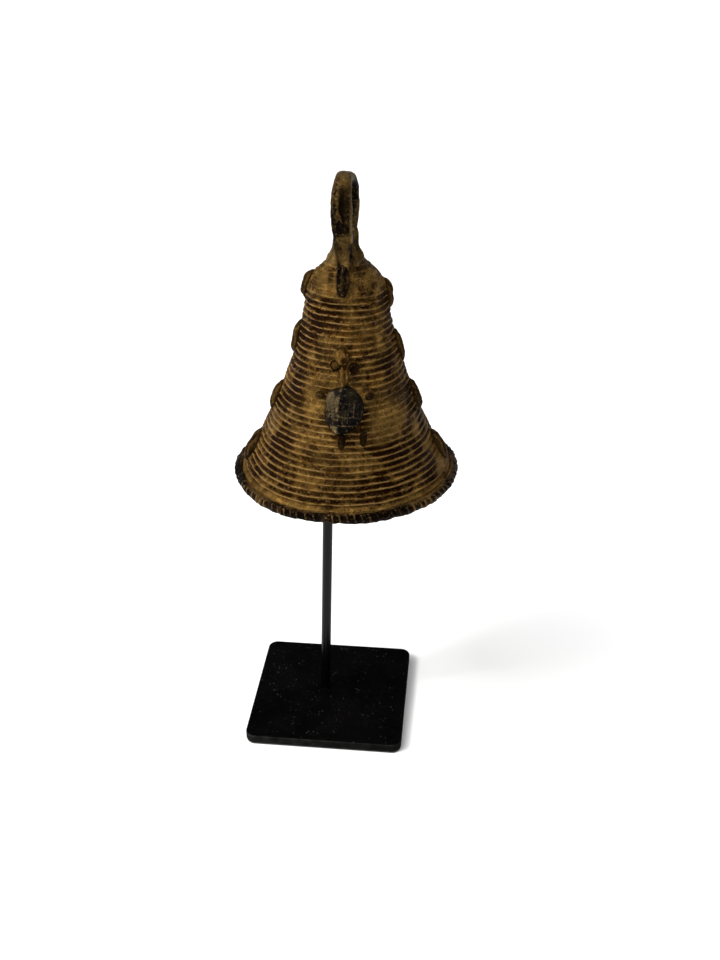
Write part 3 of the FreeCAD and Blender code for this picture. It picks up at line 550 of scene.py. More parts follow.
# inside: from the lip up to the ceiling, a little rough, with faint marks of the core
inner_profile = [(50.0, -0.15), (48.4, -0.1), (47.55, 0.5), (46.3, 2.2), (43.0, 7.2), (40.1, 12.5), (37.5, 17.6), (35.1, 22.7), (32.8, 27.9), (28.6, 38.2), (24.8, 48.6), (21.4, 58.9), (18.7, 69.2), (16.6, 79.4), (15.6, 85.5), (15.2, 90.0), (14.4, 93.0), (12.6, 94.85), (10.6, 95.12), (7.0, 95.15), (3.0, 95.15), (0.6, 95.15)]
inner2 = spline_points(inner_profile, 150)
ir, ih = np.meshgrid(inner2[:, 0], np.zeros(COLS), indexing="ij")[0], np.repeat(inner2[:, 1][:, None], COLS, 1)
ia = np.repeat(az[None, :], len(inner2), 0)
inner = np.stack([np.sin(ia) * ir, -np.cos(ia) * ir, ih], -1)
rough = 0.16 * fbm(inner, 7.0, 3, 51) + 0.07 * noise(inner, 1.6, 53)
rough *= smooth(1.0, 6.0, inner[..., 2]) * smooth(93.0, 84.0, inner[..., 2])
inner = inner + np.stack([np.sin(ia), -np.cos(ia), np.zeros_like(ia)], -1) * (np.clip(rough, -0.05, 1))[..., None]
rows3 = np.concatenate([outer[::-1], inner])
high3 = np.concatenate([high[::-1], np.clip(0.45 + rough * 1.2, 0, 1)])
worn3 = np.concatenate([worn[::-1], np.zeros(ir.shape)])
crest_highlight3 = np.concatenate([edge[::-1], np.zeros(ir.shape)])
verts, quads, tris = capped(rows3, (0, 0, curve[-1, 1]), (0, 0, 95.15))
wall = make("bell_wall", to_world(verts, uneven=True), quads, tris, WALL, {"high": np.append(high3.ravel(), [0.5, 0.3]), "worn": np.append(worn3.ravel(), [0, 0]), "edge": np.append(crest_highlight3.ravel(), [0, 0])})
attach(wall, "bell")
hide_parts("bell_body")


# ------------------------------------------------------------------ pieces on the wall

def relief_piece(e, height, seed, power=2.3, square=2.0, edge=0.5, extra=None, rough=0.10, outline=0.07, cols=120, rows=44, sink=1.1, taper=0.0):
    """A closed form that stands on the wall: a domed top that follows the seat's outline, and a base sunk in the wall.
    Returns vertices, faces and the 'high' values."""
    phi = np.linspace(0, 2 * math.pi, cols, endpoint=False)
    rho = np.sin(np.linspace(0, 1, rows + 1)[1:] * math.pi / 2) ** 0.9
    pp, rr = np.meshgrid(phi, rho)
    ring = np.stack([np.cos(phi) * 5, np.sin(phi) * 5, np.full(cols, seed * 3.1)], -1)
    form = (np.abs(np.cos(phi)) ** square + np.abs(np.sin(phi)) ** square) ** (-1 / square) * (1 + outline * noise(ring, 2.6, seed))
    u = e["a"] * rr * np.cos(pp) * form
    v = e["b"] * rr * np.sin(pp) * form
    u = u * (1 - taper * np.clip(-v / e["b"], 0, 1) ** 2 - 0.5 * taper * np.clip(v / e["b"], 0, 1) ** 2)
    z = height * np.clip(1 - rr ** power, 0, 1) ** edge
    local = np.stack([u, v, np.full(u.shape, seed * 7.7)], -1)
    hi = 0.62 + 0.0 * u
    if extra is not None:
        dz, hi = extra(u, v, rr)
        z = z + dz * smooth(1.0, 0.8, rr)
    z = z + (rough * 2.0 * noise(local, 3.2, seed + 1) + rough * noise(local, 1.1, seed + 2)) * smooth(1.02, 0.85, rr)
    hi = hi * (0.35 + 0.65 * smooth(1.0, 0.86, rr))
    # base rings, sunk in the wall
    down = [(1.01, -0.45), (0.995, -sink), (0.6, -sink), (0.25, -sink)]
    uu = np.concatenate([u] + [u[-1:] * k for k, _ in down])
    vv = np.concatenate([v] + [v[-1:] * k for k, _ in down])
    zz = np.concatenate([z] + [np.full((1, cols), q) for _, q in down])
    hh = np.concatenate([hi] + [np.full((1, cols), 0.1)] * len(down))
    c, n = math.cos(e["turn"]), math.sin(e["turn"])

    def place(a_, b_, z_):
        s = e["s"] + a_ * n + b_ * c
        around = a_ * c - b_ * n
        r = np.interp(s, S, curve[:, 0])
        return wall_point(s, e["az"] + around / np.maximum(r, 4.0), 0.0) + wall_dir(s, e["az"] + around / np.maximum(r, 4.0)) * z_[..., None]

    body = place(uu, vv, zz)
    zero = np.zeros((1, 1))
    tip = place(zero, zero, zero + float(z[0].mean()))[0, 0]
    low = place(zero, zero, zero - sink)[0, 0]
    verts, quads, tris = capped(body, tip, low)
    h_all = np.append(hh.ravel(), [float(hi[0].mean()), 0.1])
    return verts, quads, tris, h_all


def wall_dir(s, azimuth):
    radial, vertical = np.interp(s, S, normal2[:, 0]), np.interp(s, S, normal2[:, 1])
    return np.stack([np.sin(azimuth) * radial, -np.cos(azimuth) * radial, vertical + 0 * azimuth], -1)


def build(name, parts, mat, node, worn_amount=0.2):
    """Joins relief pieces into one object on the bell that stands for a CAD node."""
    vs, qs, ts, hs, n = [], [], [], [], 0
    for verts, quads, tris, h in parts:
        vs.append(verts)
        qs.append(quads + n)
        ts.append(tris + n)
        hs.append(h)
        n += len(verts)
    verts = np.concatenate(vs)
    worn_ = np.clip(worn_amount + 0.5 * noise(verts, 5.0, 61), 0, 1)
    obj = make(name, to_world(verts, uneven=True), np.concatenate(qs), np.concatenate(ts), mat, {"high": np.concatenate(hs), "worn": worn_})
    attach(obj, "bell")
    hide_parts(node)
    return obj


def shell_detail(u, v, rr):
    """A raised keel that curves, a smooth left third coloured lighter, partly as wear and partly as painted light on
    its lit facet, with a painted sheen band and painted glints by the keel, and a net of thin raised lines over dark
    cells on the rest.
    """
    flat = np.stack([u, v, u * 0 + 3.0], -1)
    wobble = 0.35 * noise(flat, 3.0, 71)
    keel_at = -1.9 + 1.0 * smooth(0.0, 9.0, v) + 0.25 * noise(flat, 4.0, 78)
    keel = np.exp(-((u - keel_at) / 0.7) ** 2) * smooth(1.0, 0.7, rr)
    left = smooth(keel_at + 0.3, keel_at - 0.9, u)
    across = u * 0
    for row, strength in ((7.3, 0.35), (3.3, 0.6), (-2.4, 0.9), (-6.2, 1.0), (-9.8, 1.0)):
        across = np.maximum(across, strength * np.exp(-((v - row + 0.06 * u + wobble) / 0.32) ** 2))
    du = np.abs(((u + wobble) / 1.95 + 0.5) % 1 - 0.5) * 1.95
    broken_net = np.clip(0.55 + 1.1 * noise(flat, 2.6, 76), 0, 1)
    net = np.maximum(across, 0.75 * np.exp(-(du / 0.26) ** 2) * broken_net) * (1 - 0.95 * left) * smooth(1.0, 0.9, rr)
    lumps = 0.30 * noise(np.stack([u, v, u * 0 + 9.0], -1), 2.2, 73) + 0.14 * noise(np.stack([u, v, u * 0 + 9.0], -1), 1.1, 74)
    sink_in = -0.35 * (1 - left) * smooth(1.0, 0.75, rr)
    tone = 0.5 + 0.7 * noise(flat, 2.4, 75) + 0.4 * noise(flat, 1.1, 77)
    # painted light: the left third is coloured lighter, partly wear and partly the lit facet, with a painted sheen band
    # near u -4.4 and painted glints along the keel's upper left
    hi = np.clip(0.04 + 0.62 * net * (1 - left) + left * np.clip(0.46 + 0.75 * (tone - 0.5) + 0.26 * np.exp(-((u + 4.4 + 0.1 * v) / 1.2) ** 2) - 0.22 * smooth(1.0, 8.0, v) + 0.3 * np.exp(-((u - keel_at + 0.9) / 0.55) ** 2) * smooth(-4.0, 2.0, v), 0, 1) + 0.35 * keel * np.clip(tone, 0, 1), 0, 1)
    return 0.45 * keel + 0.34 * net + sink_in + lumps, hi


build("shell_piece", [relief_piece(seats["shell"], 4.4, 101, 2.5, 2.4, 0.60, shell_detail, 0.12, 0.09, 340, 150, taper=0.26)], SHELL, "tortoise_shell", 0.1)


def ridge_down(u, v, rr):
    return 0.30 * np.exp(-(u / 0.7) ** 2), np.clip(0.45 + 0.35 * np.exp(-(u / 0.9) ** 2), 0, 1)


def neck_detail(u, v, rr):
    """Two cords side by side, smeared into the wall."""
    cords = 0.25 * np.cos(2 * math.pi * (u + 0.5) / 2.6)
    return cords, np.clip(0.52 + cords + 0.2 * noise(np.stack([u, v, u * 0 + 2.0], -1), 2.0, 77), 0, 1)


build("neck_piece", [relief_piece(seats["neck"], 1.6, 111, 2.2, 2.0, 0.6, neck_detail, 0.14, 0.14)], WALL, "tortoise_neck", 0.7)


def head_detail(u, v, rr):
    """A blunt lobe, high along its left edge, with a dent behind it."""
    dent = -0.8 * np.exp(-(((u - 0.6) / 1.3) ** 2 + ((v + 1.6) / 1.2) ** 2))
    edge = 0.5 * np.exp(-((u + 1.5) / 0.7) ** 2) * smooth(1.0, 0.8, rr)
    return dent + edge, np.clip(0.42 + edge * 0.9 + dent * 0.6 + 0.25 * noise(np.stack([u, v, u * 0 + 4.0], -1), 1.8, 79), 0, 1)


build("head_piece", [relief_piece(seats["head"], 2.2, 121, 2.3, 1.9, 0.6, head_detail, 0.16, 0.14)], WALL, "tortoise_head", 0.45)


def eye_detail(u, v, rr):
    """A ring with a hollow in it."""
    hollow = -0.9 * np.exp(-(rr / 0.45) ** 2)
    ring = 0.40 * np.exp(-((rr - 0.70) / 0.14) ** 2)
    return hollow + ring, np.clip(0.35 + 1.2 * ring - 0.3 * np.exp(-(rr / 0.5) ** 2), 0, 1)


def toned(piece, gain, add=0.0):
    verts, quads, tris, h = piece
    return verts, quads, tris, np.clip(h * gain + add, 0, 1)


def bead_detail(u, v, rr):
    """A low bead with a groove round it, deepest at its lower left."""
    groove = np.exp(-((rr - 0.80) / 0.13) ** 2) * (0.65 + 0.35 * (-u - v) / 3.2)
    return -0.75 * groove, np.clip(0.80 - 1.0 * groove - 0.5 * smooth(0.86, 1.0, rr), 0, 1)


build("eye_pieces", [toned(relief_piece(seats["eye_a"], 1.3, 131, 3.0, 2.0, 0.6, bead_detail, 0.10, 0.08), 1.0), toned(relief_piece(seats["eye_b"], 1.8, 141, 3.0, 2.0, 0.6, eye_detail, 0.16, 0.16), 0.30)], BOSS, "tortoise_eyes", 0.2)
build(
    "feet_pieces",
    [
        toned(relief_piece(seats["fore_a"], 1.3, 151, 2.4, 2.0, 0.6, None, 0.14, 0.14), 0.5),
        toned(relief_piece(seats["fore_b"], 1.3, 152, 2.4, 2.0, 0.6, None, 0.14, 0.14), 0.35),
        toned(relief_piece(seats["hind_a"], 1.4, 153, 2.2, 2.0, 0.6, ridge_down, 0.18, 0.2), 0.25),
        toned(relief_piece(seats["hind_b"], 1.4, 154, 2.2, 2.0, 0.6, ridge_down, 0.18, 0.2), 0.32),
    ],
    BOSS, "tortoise_feet", 0.3,
)


def front_detail(u, v, rr):
    """Lumpy oval with a rope of two threads down it."""
    t = u / 3.2
    wave = 0.55 * np.cos(2 * math.pi * 1.25 * t + 0.6 * np.sin(v * 1.1))
    lumps = 0.55 * noise(np.stack([u, v, u * 0 + 5.0], -1), 1.9, 83)
    return (wave - 0.35) * smooth(1.0, 0.5, rr) + lumps, np.clip(0.5 + 0.45 * wave + 0.5 * lumps, 0, 1)


build("front_boss_piece", [toned(relief_piece(seats["front"], 3.1, 161, 2.2, 1.9, 0.6, front_detail, 0.12, 0.10, 180, 80), 0.6)], DARK, "front_boss", 0.1)


def bean(width, phase):
    def detail(u, v, rr):
        """Three threads side by side along the boss."""
        t = u / width + 0.10 * np.sin(v * 0.45 + phase)
        wave = np.cos(2 * math.pi * 1.5 * t)
        lumps = 0.22 * noise(np.stack([u, v, u * 0 + phase * 9], -1), 2.4, 91)
        return (0.62 * (wave - 1) * 0.8) * smooth(1.02, 0.6, rr) + lumps, np.clip(0.40 + 0.46 * wave + lumps * 0.8, 0, 1)
    return detail


for label, azimuth, heights in COLUMNS:
    parts = []
    for k, (a, b, tall) in enumerate(SIZES):
        piece = relief_piece(seats["%s_%d" % (label, k)], tall, 200 + 10 * k + len(label), 2.6, 2.1, 0.55, bean(a, k * 1.3 + len(label)), 0.10, 0.06, 160, 70)
        parts.append(toned(piece, {"right_bosses2": 0.55, "left_bosses3": 0.8}.get(label + str(k), 0.92)))
    build(label + "_pieces", parts, BOSS, label, 0.35)


# ------------------------------------------------------------------ twisted rope round the lip

ROPE_COLS = 44
ROPE_ROWS = 1800
PITS = 92
ang = np.linspace(0, 2 * math.pi, ROPE_ROWS, endpoint=False)
ring_at = np.stack([np.sin(ang) * 51.2, -np.cos(ang) * 51.2, np.full(ROPE_ROWS, 2.0)], -1)
wave = fbm(ring_at, 16.0, 2, 301)
centre = np.stack([np.sin(ang) * (51.35 + 0.22 * wave), -np.cos(ang) * (51.35 + 0.22 * wave), 1.85 + 0.35 * noise(ring_at, 19.0, 303)], -1)
theta = np.linspace(0, 2 * math.pi, ROPE_COLS, endpoint=False)[None, :]
# theta 0 is up; the side that faces out is at a quarter turn one way or the other
rope_side = tube(centre, 1.0, ROPE_COLS, closed=True)
outward = np.hypot(rope_side[..., 0], rope_side[..., 1]) - np.hypot(centre[:, 0], centre[:, 1])[:, None]
lift_ = rope_side[..., 2] - centre[:, 2][:, None]
# pressed pits side by side; the thin ridges between them lean and bow
phase = PITS * ang[:, None] + 2.6 * noise(ring_at, 9.0, 305)[:, None] + 1.3 * noise(ring_at, 3.6, 306)[:, None] + (1.0 + 0.8 * noise(ring_at, 12.0, 308)[:, None]) * lift_ + 0.35 * lift_ ** 2
between = (0.5 + 0.5 * np.cos(phase)) ** 3.6
own_depth = (0.74 + 0.75 * noise(ring_at, 4.2, 307))[:, None]
face = smooth(-0.35, 0.30, outward) * smooth(0.94, 0.60, np.abs(lift_ - 0.08))
press = (1 - between) * face * np.clip(own_depth, 0.3, 1.2)
radius = 2.22 + 0.12 * noise(ring_at, 6.0, 309)[:, None] - 0.62 * press
crease = np.clip(1 - press * 1.15 - 0.35 * (1 - face) * (outward > -0.2), 0, 1)
rope = tube(centre, radius, ROPE_COLS, closed=True)
rope_rough = 0.10 * noise(rope, 1.3, 311) + 0.12 * noise(rope, 3.0, 313)
mid = centre[:, None]
rope = mid + (rope - mid) * (1 + rope_rough[..., None])
n = ROPE_ROWS
i = np.arange(n)[:, None]
j = np.arange(ROPE_COLS)[None, :]
quads = np.stack([i * ROPE_COLS + j, i * ROPE_COLS + (j + 1) % ROPE_COLS, ((i + 1) % n) * ROPE_COLS + (j + 1) % ROPE_COLS, ((i + 1) % n) * ROPE_COLS + j], -1).reshape(-1, 4)
rope_obj = make("rope_band", to_world(rope.reshape(-1, 3), uneven=True), quads, None, DARK, {"high": np.clip(0.02 + 0.84 * crease ** 2.0 * (1 + 1.1 * noise(rope, 8.0, 319)) + 0.22 * noise(rope, 9.0, 317), 0, 1), "worn": np.clip(0.10 + 0.5 * noise(rope, 8.0, 315), 0, 1)})
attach(rope_obj, "bell")
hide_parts("rim_rope")


# ------------------------------------------------------------------ suspension loop

def remeshed(name, parts, voxel, smoothing):
    """Melts overlapping closed forms into one skin and returns its vertices (mm) and faces."""
    n, vs, qs, ts = 0, [], [], []
    for verts, quads, tris in parts:
        vs.append(verts)
        qs.append(quads + n)
        ts.append(tris + n)
        n += len(verts)
    rough_obj = make(name + "_rough", np.concatenate(vs), np.concatenate(qs), np.concatenate(ts))
    mod = rough_obj.modifiers.new("melt", "REMESH")
    mod.mode = "VOXEL"
    mod.voxel_size = voxel * 0.001
    soft = rough_obj.modifiers.new("soft", "SMOOTH")
    soft.factor, soft.iterations = 0.5, smoothing
    dg = bpy.context.evaluated_depsgraph_get()
    me = bpy.data.meshes.new_from_object(rough_obj.evaluated_get(dg))
    co = np.zeros(len(me.vertices) * 3, np.float32)
    me.vertices.foreach_get("co", co)
    no = np.zeros(len(me.vertices) * 3, np.float32)
    me.vertices.foreach_get("normal", no)
    four, three = [], []
    for poly in me.polygons:
        (four if len(poly.vertices) == 4 else three).append(tuple(poly.vertices))
    old = rough_obj.data
    bpy.data.objects.remove(rough_obj)
    bpy.data.meshes.remove(old)
    bpy.data.meshes.remove(me)
    return co.reshape(-1, 3).astype(float) * 1000, no.reshape(-1, 3).astype(float), np.array(four, int).reshape(-1, 4), np.array(three, int).reshape(-1, 3)


# In the loop's frame: X is across it, Y lies in its plane (front leg to -Y), Z is height over the mouth.
neck_profile = np.array([(9.0, 102.6), (8.2, 104.6), (6.8, 106.4), (5.8, 108.2), (5.1, 110.2), (4.75, 112.4), (4.5, 114.6), (4.0, 116.6), (2.8, 118.0), (1.0, 118.6)])
prof = spline_points(neck_profile, 40)
ca = np.linspace(0, 2 * math.pi, 64, endpoint=False)
widen = np.interp(prof[:, 1], [102, 106, 110, 114, 119], [1.0, 1.10, 1.34, 1.62, 1.9])
neck_rings = np.stack([np.cos(ca)[None, :] * prof[:, :1], np.sin(ca)[None, :] * (prof[:, 0] * widen)[:, None], np.repeat(prof[:, 1][:, None], 64, 1)], -1)
neck_form = capped(neck_rings, (0, 0, 102.4), (0, 0, 118.9))


def strap(path, wide, deep, cols=56):
    """A band of rounded-rectangle section: wide across (X), deep in the loop's plane."""
    angle = np.linspace(0, 2 * math.pi, cols, endpoint=False)[None, :]
    w, d = np.asarray(wide, float).reshape(-1, 1), np.asarray(deep, float).reshape(-1, 1)
    return tube(path, ((np.abs(np.cos(angle)) / w) ** 2.9 + (np.abs(np.sin(angle)) / d) ** 2.9) ** (-1 / 2.9), cols, side=(1, 0, 0))


eye_path = spline_points([(0.5, -7.2, 113.4), (0.35, -8.9, 118.2), (0.1, -9.6, 123.6), (0.0, -9.5, 129.3), (0.0, -7.9, 134.6), (0.1, -4.6, 138.3), (0.2, 0.0, 139.3), (0.4, 4.6, 138.3), (0.7, 7.9, 134.6), (0.9, 9.5, 129.3), (0.9, 9.6, 123.6), (0.6, 8.9, 118.2), (0.2, 7.2, 113.4)], 130)
size_way = np.linspace(-1, 1, 130)
half_wide = 4.65 + 0.25 * noise(eye_path, 9.0, 401) - 0.95 * np.exp(-(size_way / 0.30) ** 2) - 0.35 * smooth(0.55, 1.0, np.abs(size_way))
half_deep = 2.40 + 0.10 * noise(eye_path, 7.0, 403)
eye_form = capped(strap(eye_path, half_wide, half_deep), eye_path[0], eye_path[-1])
# the two legs' feet run out on the crown; the front one splits in two cords
feet = []
for sign, reach in ((-1, 10.4), (1, 10.2)):
    foot_path = spline_points([(0.0, sign * 7.2, 113.6), (0.0, sign * 7.4, 109.4), (0.0, sign * 8.2, 105.6), (0.0, sign * reach, 101.8)], 36)
    feet.append(capped(strap(foot_path, np.linspace(4.1, 2.5, 36), np.linspace(2.3, 0.8, 36), 40), foot_path[0], foot_path[-1]))
side_foot = spline_points([(3.6, 1.0, 117.6), (4.7, 0.4, 113.0), (5.2, -0.6, 108.8), (7.2, -1.6, 104.0)], 30)
feet.append(capped(tube(side_foot, 1.7 + 0.4 * np.sin(np.linspace(0.2, 9.0, 30)), 28, side=(0, 1, 0)), side_foot[0], side_foot[-1]))
co, no, four, three = remeshed("loop", [neck_form, eye_form] + feet, 0.24, 10)
lump = 0.26 * fbm(co, 5.0, 2, 411) + 0.12 * noise(co, 1.6, 413) + 0.05 * noise(co, 0.8, 415)
# a hollow runs down the outer face of each leg, between two raised edges; the edges are coloured lighter as a painted
# highlight line, strongest on the right edge
legs = smooth(122.0, 129.5, co[:, 2]) * smooth(138.5, 132.5, co[:, 2])
facing = smooth(0.35, 0.85, np.abs(no[:, 1])) * (np.sign(no[:, 1]) == np.sign(co[:, 1]))
shift = np.where(co[:, 1] < 0, 1.35, 0.0) + 0.3 * noise(co, 9.0, 421)
hollow = np.exp(-np.abs((co[:, 0] - shift) / (0.75 + 0.85 * legs)) ** 2.6) * legs * facing
long_edge = smooth(106.0, 112.0, co[:, 2]) * smooth(140.5, 137.0, co[:, 2])
edges = (1.25 * np.exp(-((co[:, 0] - shift - 2.9) / 0.42) ** 2) + 0.5 * np.exp(-((co[:, 0] - shift + 2.75) / 0.7) ** 2) * legs) * long_edge * facing
# faint lengthwise cords on the neck
turn = np.arctan2(co[:, 1], co[:, 0])
threads = np.cos(turn * 9 + 1.2 * noise(co, 7.0, 417)) * smooth(116.0, 109.0, co[:, 2]) * 0.24
co2 = co + no * (lump + threads - 1.35 * hollow + 0.34 * edges)[:, None]
# the edges term here is a painted highlight line
high_loop = np.clip(0.40 + 0.8 * lump + 1.1 * threads - 1.7 * hollow + 1.05 * edges + 0.32 * smooth(136.0, 140.0, co[:, 2]) + 0.25 * noise(co, 5.0, 423), 0, 1)
# painted shade: the inside of the loop's hole is coloured darker
hole_shade = smooth(8.2, 6.4, np.hypot(co[:, 1], (co[:, 2] - 127.6) * 0.82)) * smooth(115.5, 118.0, co[:, 2])
high_loop = high_loop * (1 - 0.75 * hole_shade)
high_loop = np.clip(high_loop + 0.35 * smooth(112.0, 105.0, co[:, 2]), 0, 1)
crease_at = np.exp(-((co[:, 0] + 1.5 + 0.1 * (co[:, 2] - 104)) / 0.55) ** 2) * smooth(109.0, 107.0, co[:, 2]) * (co[:, 1] < -2)
high_loop = np.clip(high_loop - 0.9 * crease_at, 0, 1)
co2 = co2 - no * (0.45 * crease_at)[:, None]
loop_obj = make("loop_piece", to_world(co2, YAW + LOOP_YAW, uneven=True), four, three, LOOP, {"high": high_loop, "worn": np.clip(0.15 + 0.6 * noise(co, 6.0, 419) + 0.4 * smooth(135.0, 140.0, co[:, 2]) + 0.8 * smooth(112.0, 105.0, co[:, 2]), 0, 1)})
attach(loop_obj, "bell")
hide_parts("suspension_loop")


# ------------------------------------------------------------------ clapper and staple, inside

def forged(name, parts, voxel, node, body, seed, place=True, amount=0.10):
    co, no, four, three = remeshed(name, parts, voxel, 3)
    bumpy = amount * fbm(co, 2.6, 3, seed)
    co = co + no * bumpy[:, None]
    obj = make(name, to_world(co), four, three, INSIDE_IRON, {"high": np.clip(0.55 + 3.0 * bumpy, 0, 1), "worn": np.clip(0.2 + 0.5 * noise(co, 5.0, seed + 1), 0, 1)})
    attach(obj, body)
    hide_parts(node)
    return obj


bar = 87.0
staple_path = spline_points([(-3.1, 0, 98.0), (-3.1, 0, 94.0), (-3.1, 0, 89.6), (-2.55, 0, 87.6), (-1.5, 0, 87.0), (1.5, 0, 87.0), (2.55, 0, 87.6), (3.1, 0, 89.6), (3.1, 0, 94.0), (3.1, 0, 98.0)], 90)
forged("staple_piece", [capped(tube(staple_path, 1.06, 28, side=(0, 1, 0)), staple_path[0], staple_path[-1])], 0.2, "clapper_staple", "bell", 501, amount=0.02)
eye_mid = bar - (2.0 - 1.1 - 0.06)
ea = np.linspace(0, 2 * math.pi, 72, endpoint=False)
eye_ring = np.stack([np.zeros(72), np.sin(ea) * 2.97, eye_mid + np.cos(ea) * 2.97], -1)
ring_tube = tube(eye_ring, 0.9, 24, closed=True, side=(1, 0, 0))
ii = np.arange(72)[:, None]
jj = np.arange(24)[None, :]
ring_quads = np.stack([ii * 24 + jj, ii * 24 + (jj + 1) % 24, ((ii + 1) % 72) * 24 + (jj + 1) % 24, ((ii + 1) % 72) * 24 + jj], -1).reshape(-1, 4)
ring_form = (ring_tube.reshape(-1, 3), ring_quads, np.zeros((0, 3), int))
stem_path = spline_points([(0, 0, 13.6), (0.05, 0.05, 30.0), (0, 0.1, 50.0), (-0.05, 0, 70.0), (0, 0, 83.6)], 90)
stem = capped(tube(stem_path, 1.2, 28, side=(1, 0, 0)), stem_path[0], stem_path[-1])
forged("shank_piece", [ring_form, stem], 0.22, "clapper_shank", "clapper", 511, amount=0.02)
bt = np.linspace(0.04, math.pi - 0.04, 40)
ball_r = 4.75 * np.sin(bt)
ball_rings = np.stack([ball_r[:, None] * np.cos(ea)[None, :], ball_r[:, None] * np.sin(ea)[None, :], np.repeat((13.0 + 4.75 * np.cos(bt))[:, None], 72, 1)], -1)
collar_path = spline_points([(0, 0, 16.6), (0, 0, 19.0)], 10)
forged("ball_piece", [capped(ball_rings, (0, 0, 17.75), (0, 0, 8.25)), capped(tube(collar_path, np.linspace(2.6, 1.6, 10), 28, side=(1, 0, 0)), collar_path[0], collar_path[-1])], 0.3, "clapper_ball", "clapper", 521, amount=0.16)


# ------------------------------------------------------------------ stand

def plate_mesh():
    """Steel plate 80 by 80 by 5 with rounded corners and hand-eased edges, on its felt."""
    half, corner, z0, z1 = 40.0, 5.0, 0.8, 5.8
    side, arc_n = ((70, 26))
    pts = []
    for cx, cy, a0 in ((1, -1, -90), (1, 1, 0), (-1, 1, 90), (-1, -1, 180)):
        for k in range(arc_n):
            a = math.radians(a0 + 90 * k / (arc_n - 1))
            pts.append((cx * (half - corner), cy * (half - corner), math.cos(a), math.sin(a), corner))
        nx = {-90: (1, 0), 0: (0, 1), 90: (-1, 0), 180: (0, -1)}[a0]
        end = {-90: ((half, -(half - corner)), (half, half - corner)), 0: ((half - corner, half), (-(half - corner), half)), 90: ((-half, half - corner), (-half, -(half - corner))), 180: ((-(half - corner), -half), (half - corner, -half))}[a0]
        for k in range(1, side):
            f = k / side
            x = end[0][0] * (1 - f) + end[1][0] * f
            y = end[0][1] * (1 - f) + end[1][1] * f
            pts.append((x - nx[0] * corner, y - nx[1] * corner, nx[0], nx[1], corner))
    p = np.array(pts)
    cols = len(p)
    e = 0.75
    inset = [(4.2, z0), (2.0, z0), (0.55, z0), (0.16, z0 + 0.15), (0.0, z0 + 0.45), (0.0, z0 + 1.4), (0.0, z0 + 2.6), (0.0, z1 - e - 0.6), (0.0, z1 - e)]
    inset += [(e * (1 - math.cos(a)), z1 - e + e * math.sin(a)) for a in np.linspace(0.18, math.pi / 2, 9)]
    inset += [(e + k, z1) for k in (0.3, 0.9, 1.8, 2.6, 3.2)]
    rings = []
    for d, z in inset:
        r = p[:, 4] - d
        rings.append(np.stack([p[:, 0] + p[:, 2] * r, p[:, 1] + p[:, 3] * r, np.full(cols, z)], -1))
    last = rings[-1]
    for f in np.linspace(0.93, 0.04, 30):
        rings.append(np.stack([last[:, 0] * f, last[:, 1] * f, np.full(cols, z1)], -1))
    rings = np.array(rings)
    # a trace of handwork: edges not quite straight, top not quite flat
    wav = 0.10 * noise(rings, 17.0, 601)
    rings[..., 0] *= 1 + wav * 0.0016
    rings[..., 1] *= 1 + wav * 0.0016
    lower = rings[..., 2] > z1 - 0.01
    rings[..., 2] -= np.where(lower, 0.03 * (1 + noise(rings, 22.0, 603)), 0)
    return capped(rings, (0, 0, z0), (0, 0, z1 - 0.03))


plate_verts, plate_quads, plate_tris = plate_mesh()
# the 'side' values are painted light: grey edge faces, a painted highlight line at z 5.22 along the top edge, lighter
# towards the left end
plate = make("plate_piece", plate_verts, plate_quads, plate_tris, PAINT, {"side": (0.36 * smooth(5.45, 5.1, plate_verts[:, 2]) + 0.64 * np.exp(-((plate_verts[:, 2] - 5.22) / 0.20) ** 2)) * (0.55 + 0.6 * smooth(30.0, -40.0, plate_verts[:, 0]))})
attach(plate, "stand")
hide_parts("base_plate")

# Rod: leaning run, gentle bend to plumb inside the bell, a small bead of weld and paint at its foot.
lean, bend, top_z = math.radians(1.31), 260.0, 232.9
rise = 156.0 - bend * math.sin(lean)
x1 = -3.5 + (rise - 5.8) * math.tan(lean)
x2 = x1 + bend * (1 - math.cos(lean))
way = [(-3.5, 2.7, 5.75), (-3.5 + 0.6 * math.tan(lean), 2.7, 6.4), (-3.5 + 1.6 * math.tan(lean), 2.7, 7.4)]
way += [(-3.5 + (z - 5.8) * math.tan(lean), 2.7, z) for z in np.linspace(9, rise, 50)]
way += [(x1 + bend * (1 - math.cos(lean)) - bend * (1 - math.cos(lean - a)), 2.7, rise + bend * (math.sin(lean) - math.sin(lean - a))) for a in np.linspace(lean / 10, lean, 10)]
way += [(x2, 2.7, z) for z in np.linspace(158, top_z - 0.4, 20)] + [(x2, 2.7, top_z)]
way = np.array(way)
rr_ = np.full(len(way), 2.5)
rr_[0], rr_[1], rr_[2] = 2.98, 2.72, 2.55
rod_rings = tube(way, rr_, 64, side=(1, 0, 0))
rod_rings = rod_rings + 0.0
rod_obj = make("rod_piece", *capped(rod_rings, way[0], way[-1]), ROD_PAINT, sharp=50)
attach(rod_obj, "stand")
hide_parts("stand_rod")

for name, mat in (("base_felt", FELT), ("felt_washer", FELT), ("rod_screw", ZINC), ("cradle_ring", PAINT)):
    mesh = nodes[name].data
    mesh.materials.clear()
    mesh.materials.append(mat)


# ------------------------------------------------------------------ floor, light, camera

floor_mat, nt, bsdf = material("pale_floor")
bsdf.inputs["Base Color"].default_value = (0.93, 0.93, 0.93, 1)
bsdf.inputs["Roughness"].default_value = 0.9
bsdf.inputs["Specular IOR Level"].default_value = 0.1
bpy.ops.mesh.primitive_plane_add(size=8.0, location=(0, 0, 0))
floor = bpy.context.object
floor.name = "floor"
floor.data.materials.append(floor_mat)

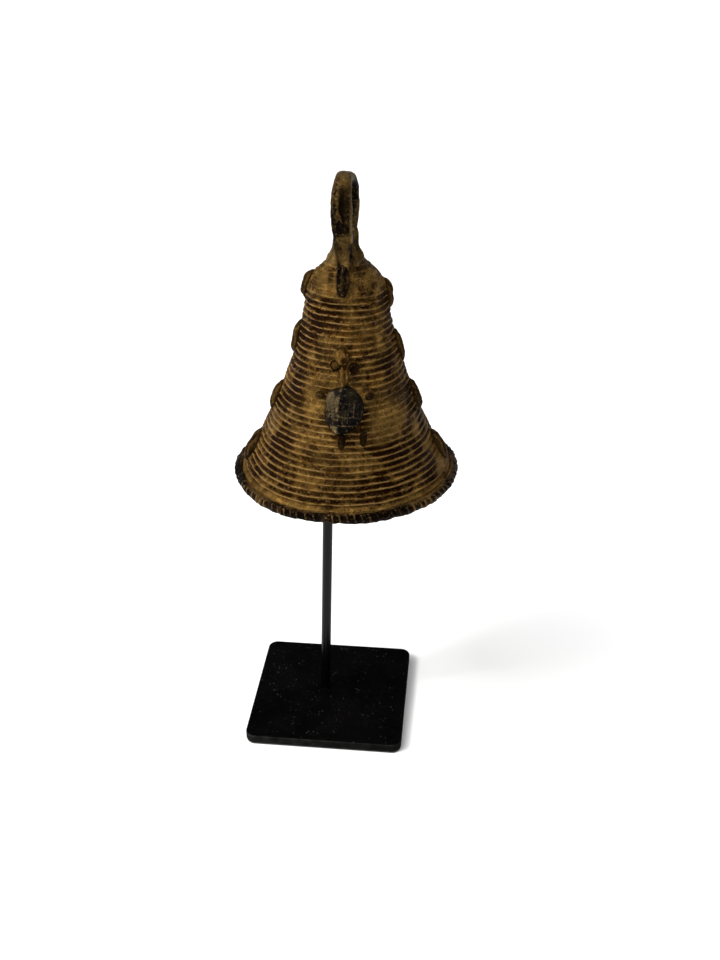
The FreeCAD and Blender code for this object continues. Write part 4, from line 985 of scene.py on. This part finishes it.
world = bpy.data.worlds.new("studio")
bpy.context.scene.world = world
world.use_nodes = True
world.node_tree.nodes["Background"].inputs["Color"].default_value = (1.0, 1.0, 1.0, 1)
world.node_tree.nodes["Background"].inputs["Strength"].default_value = 0.58


def area(name, place, aim, size, energy, colour=(1, 1, 1), size_y=None):
    light = bpy.data.lights.new(name, "AREA")
    light.energy = energy
    light.color = colour
    light.size = size
    if size_y:
        light.shape = "RECTANGLE"
        light.size_y = size_y
    o = bpy.data.objects.new(name, light)
    bpy.context.scene.collection.objects.link(o)
    o.location = place
    o.rotation_euler = (Vector(aim) - Vector(place)).to_track_quat("-Z", "Y").to_euler()
    return o


area("key", (-0.85, -0.45, 0.95), (0, 0, 0.19), 0.32, 9.0, (1.0, 0.985, 0.96))
sun = bpy.data.lights.new("sky_panel", "SUN")
sun.energy = 2.5
sun.angle = math.radians(42)
sun_obj = bpy.data.objects.new("sky_panel", sun)
bpy.context.scene.collection.objects.link(sun_obj)
sun_obj.location = (-0.6, -0.35, 1.2)
sun_obj.rotation_euler = Vector((0.55, 0.30, -1.0)).to_track_quat("-Z", "Y").to_euler()

cam = bpy.data.cameras.new("camera")
cam.sensor_width = 36
cam.lens = 1135.53 * 36 / 960
cam.clip_start = 0.01
cam_obj = bpy.data.objects.new("camera", cam)
bpy.context.scene.collection.objects.link(cam_obj)
pitch, roll, yaw = 0.5051240, 0.0024139, 0.0965773
right = Vector((math.cos(yaw), math.sin(yaw), 0))
ahead = Vector((-math.sin(yaw) * math.cos(pitch), math.cos(yaw) * math.cos(pitch), -math.sin(pitch)))
above = right.cross(ahead)
cam_x = right * math.cos(roll) + above * math.sin(roll)
cam_y = above * math.cos(roll) - right * math.sin(roll)
cam_obj.matrix_world = Matrix((
    (cam_x.x, cam_y.x, -ahead.x, 0.0614420),
    (cam_x.y, cam_y.y, -ahead.y, -0.4773807),
    (cam_x.z, cam_y.z, -ahead.z, 0.4009352),
    (0, 0, 0, 1),
))
bpy.context.scene.camera = cam_obj
bpy.context.scene.view_settings.view_transform = "Standard"
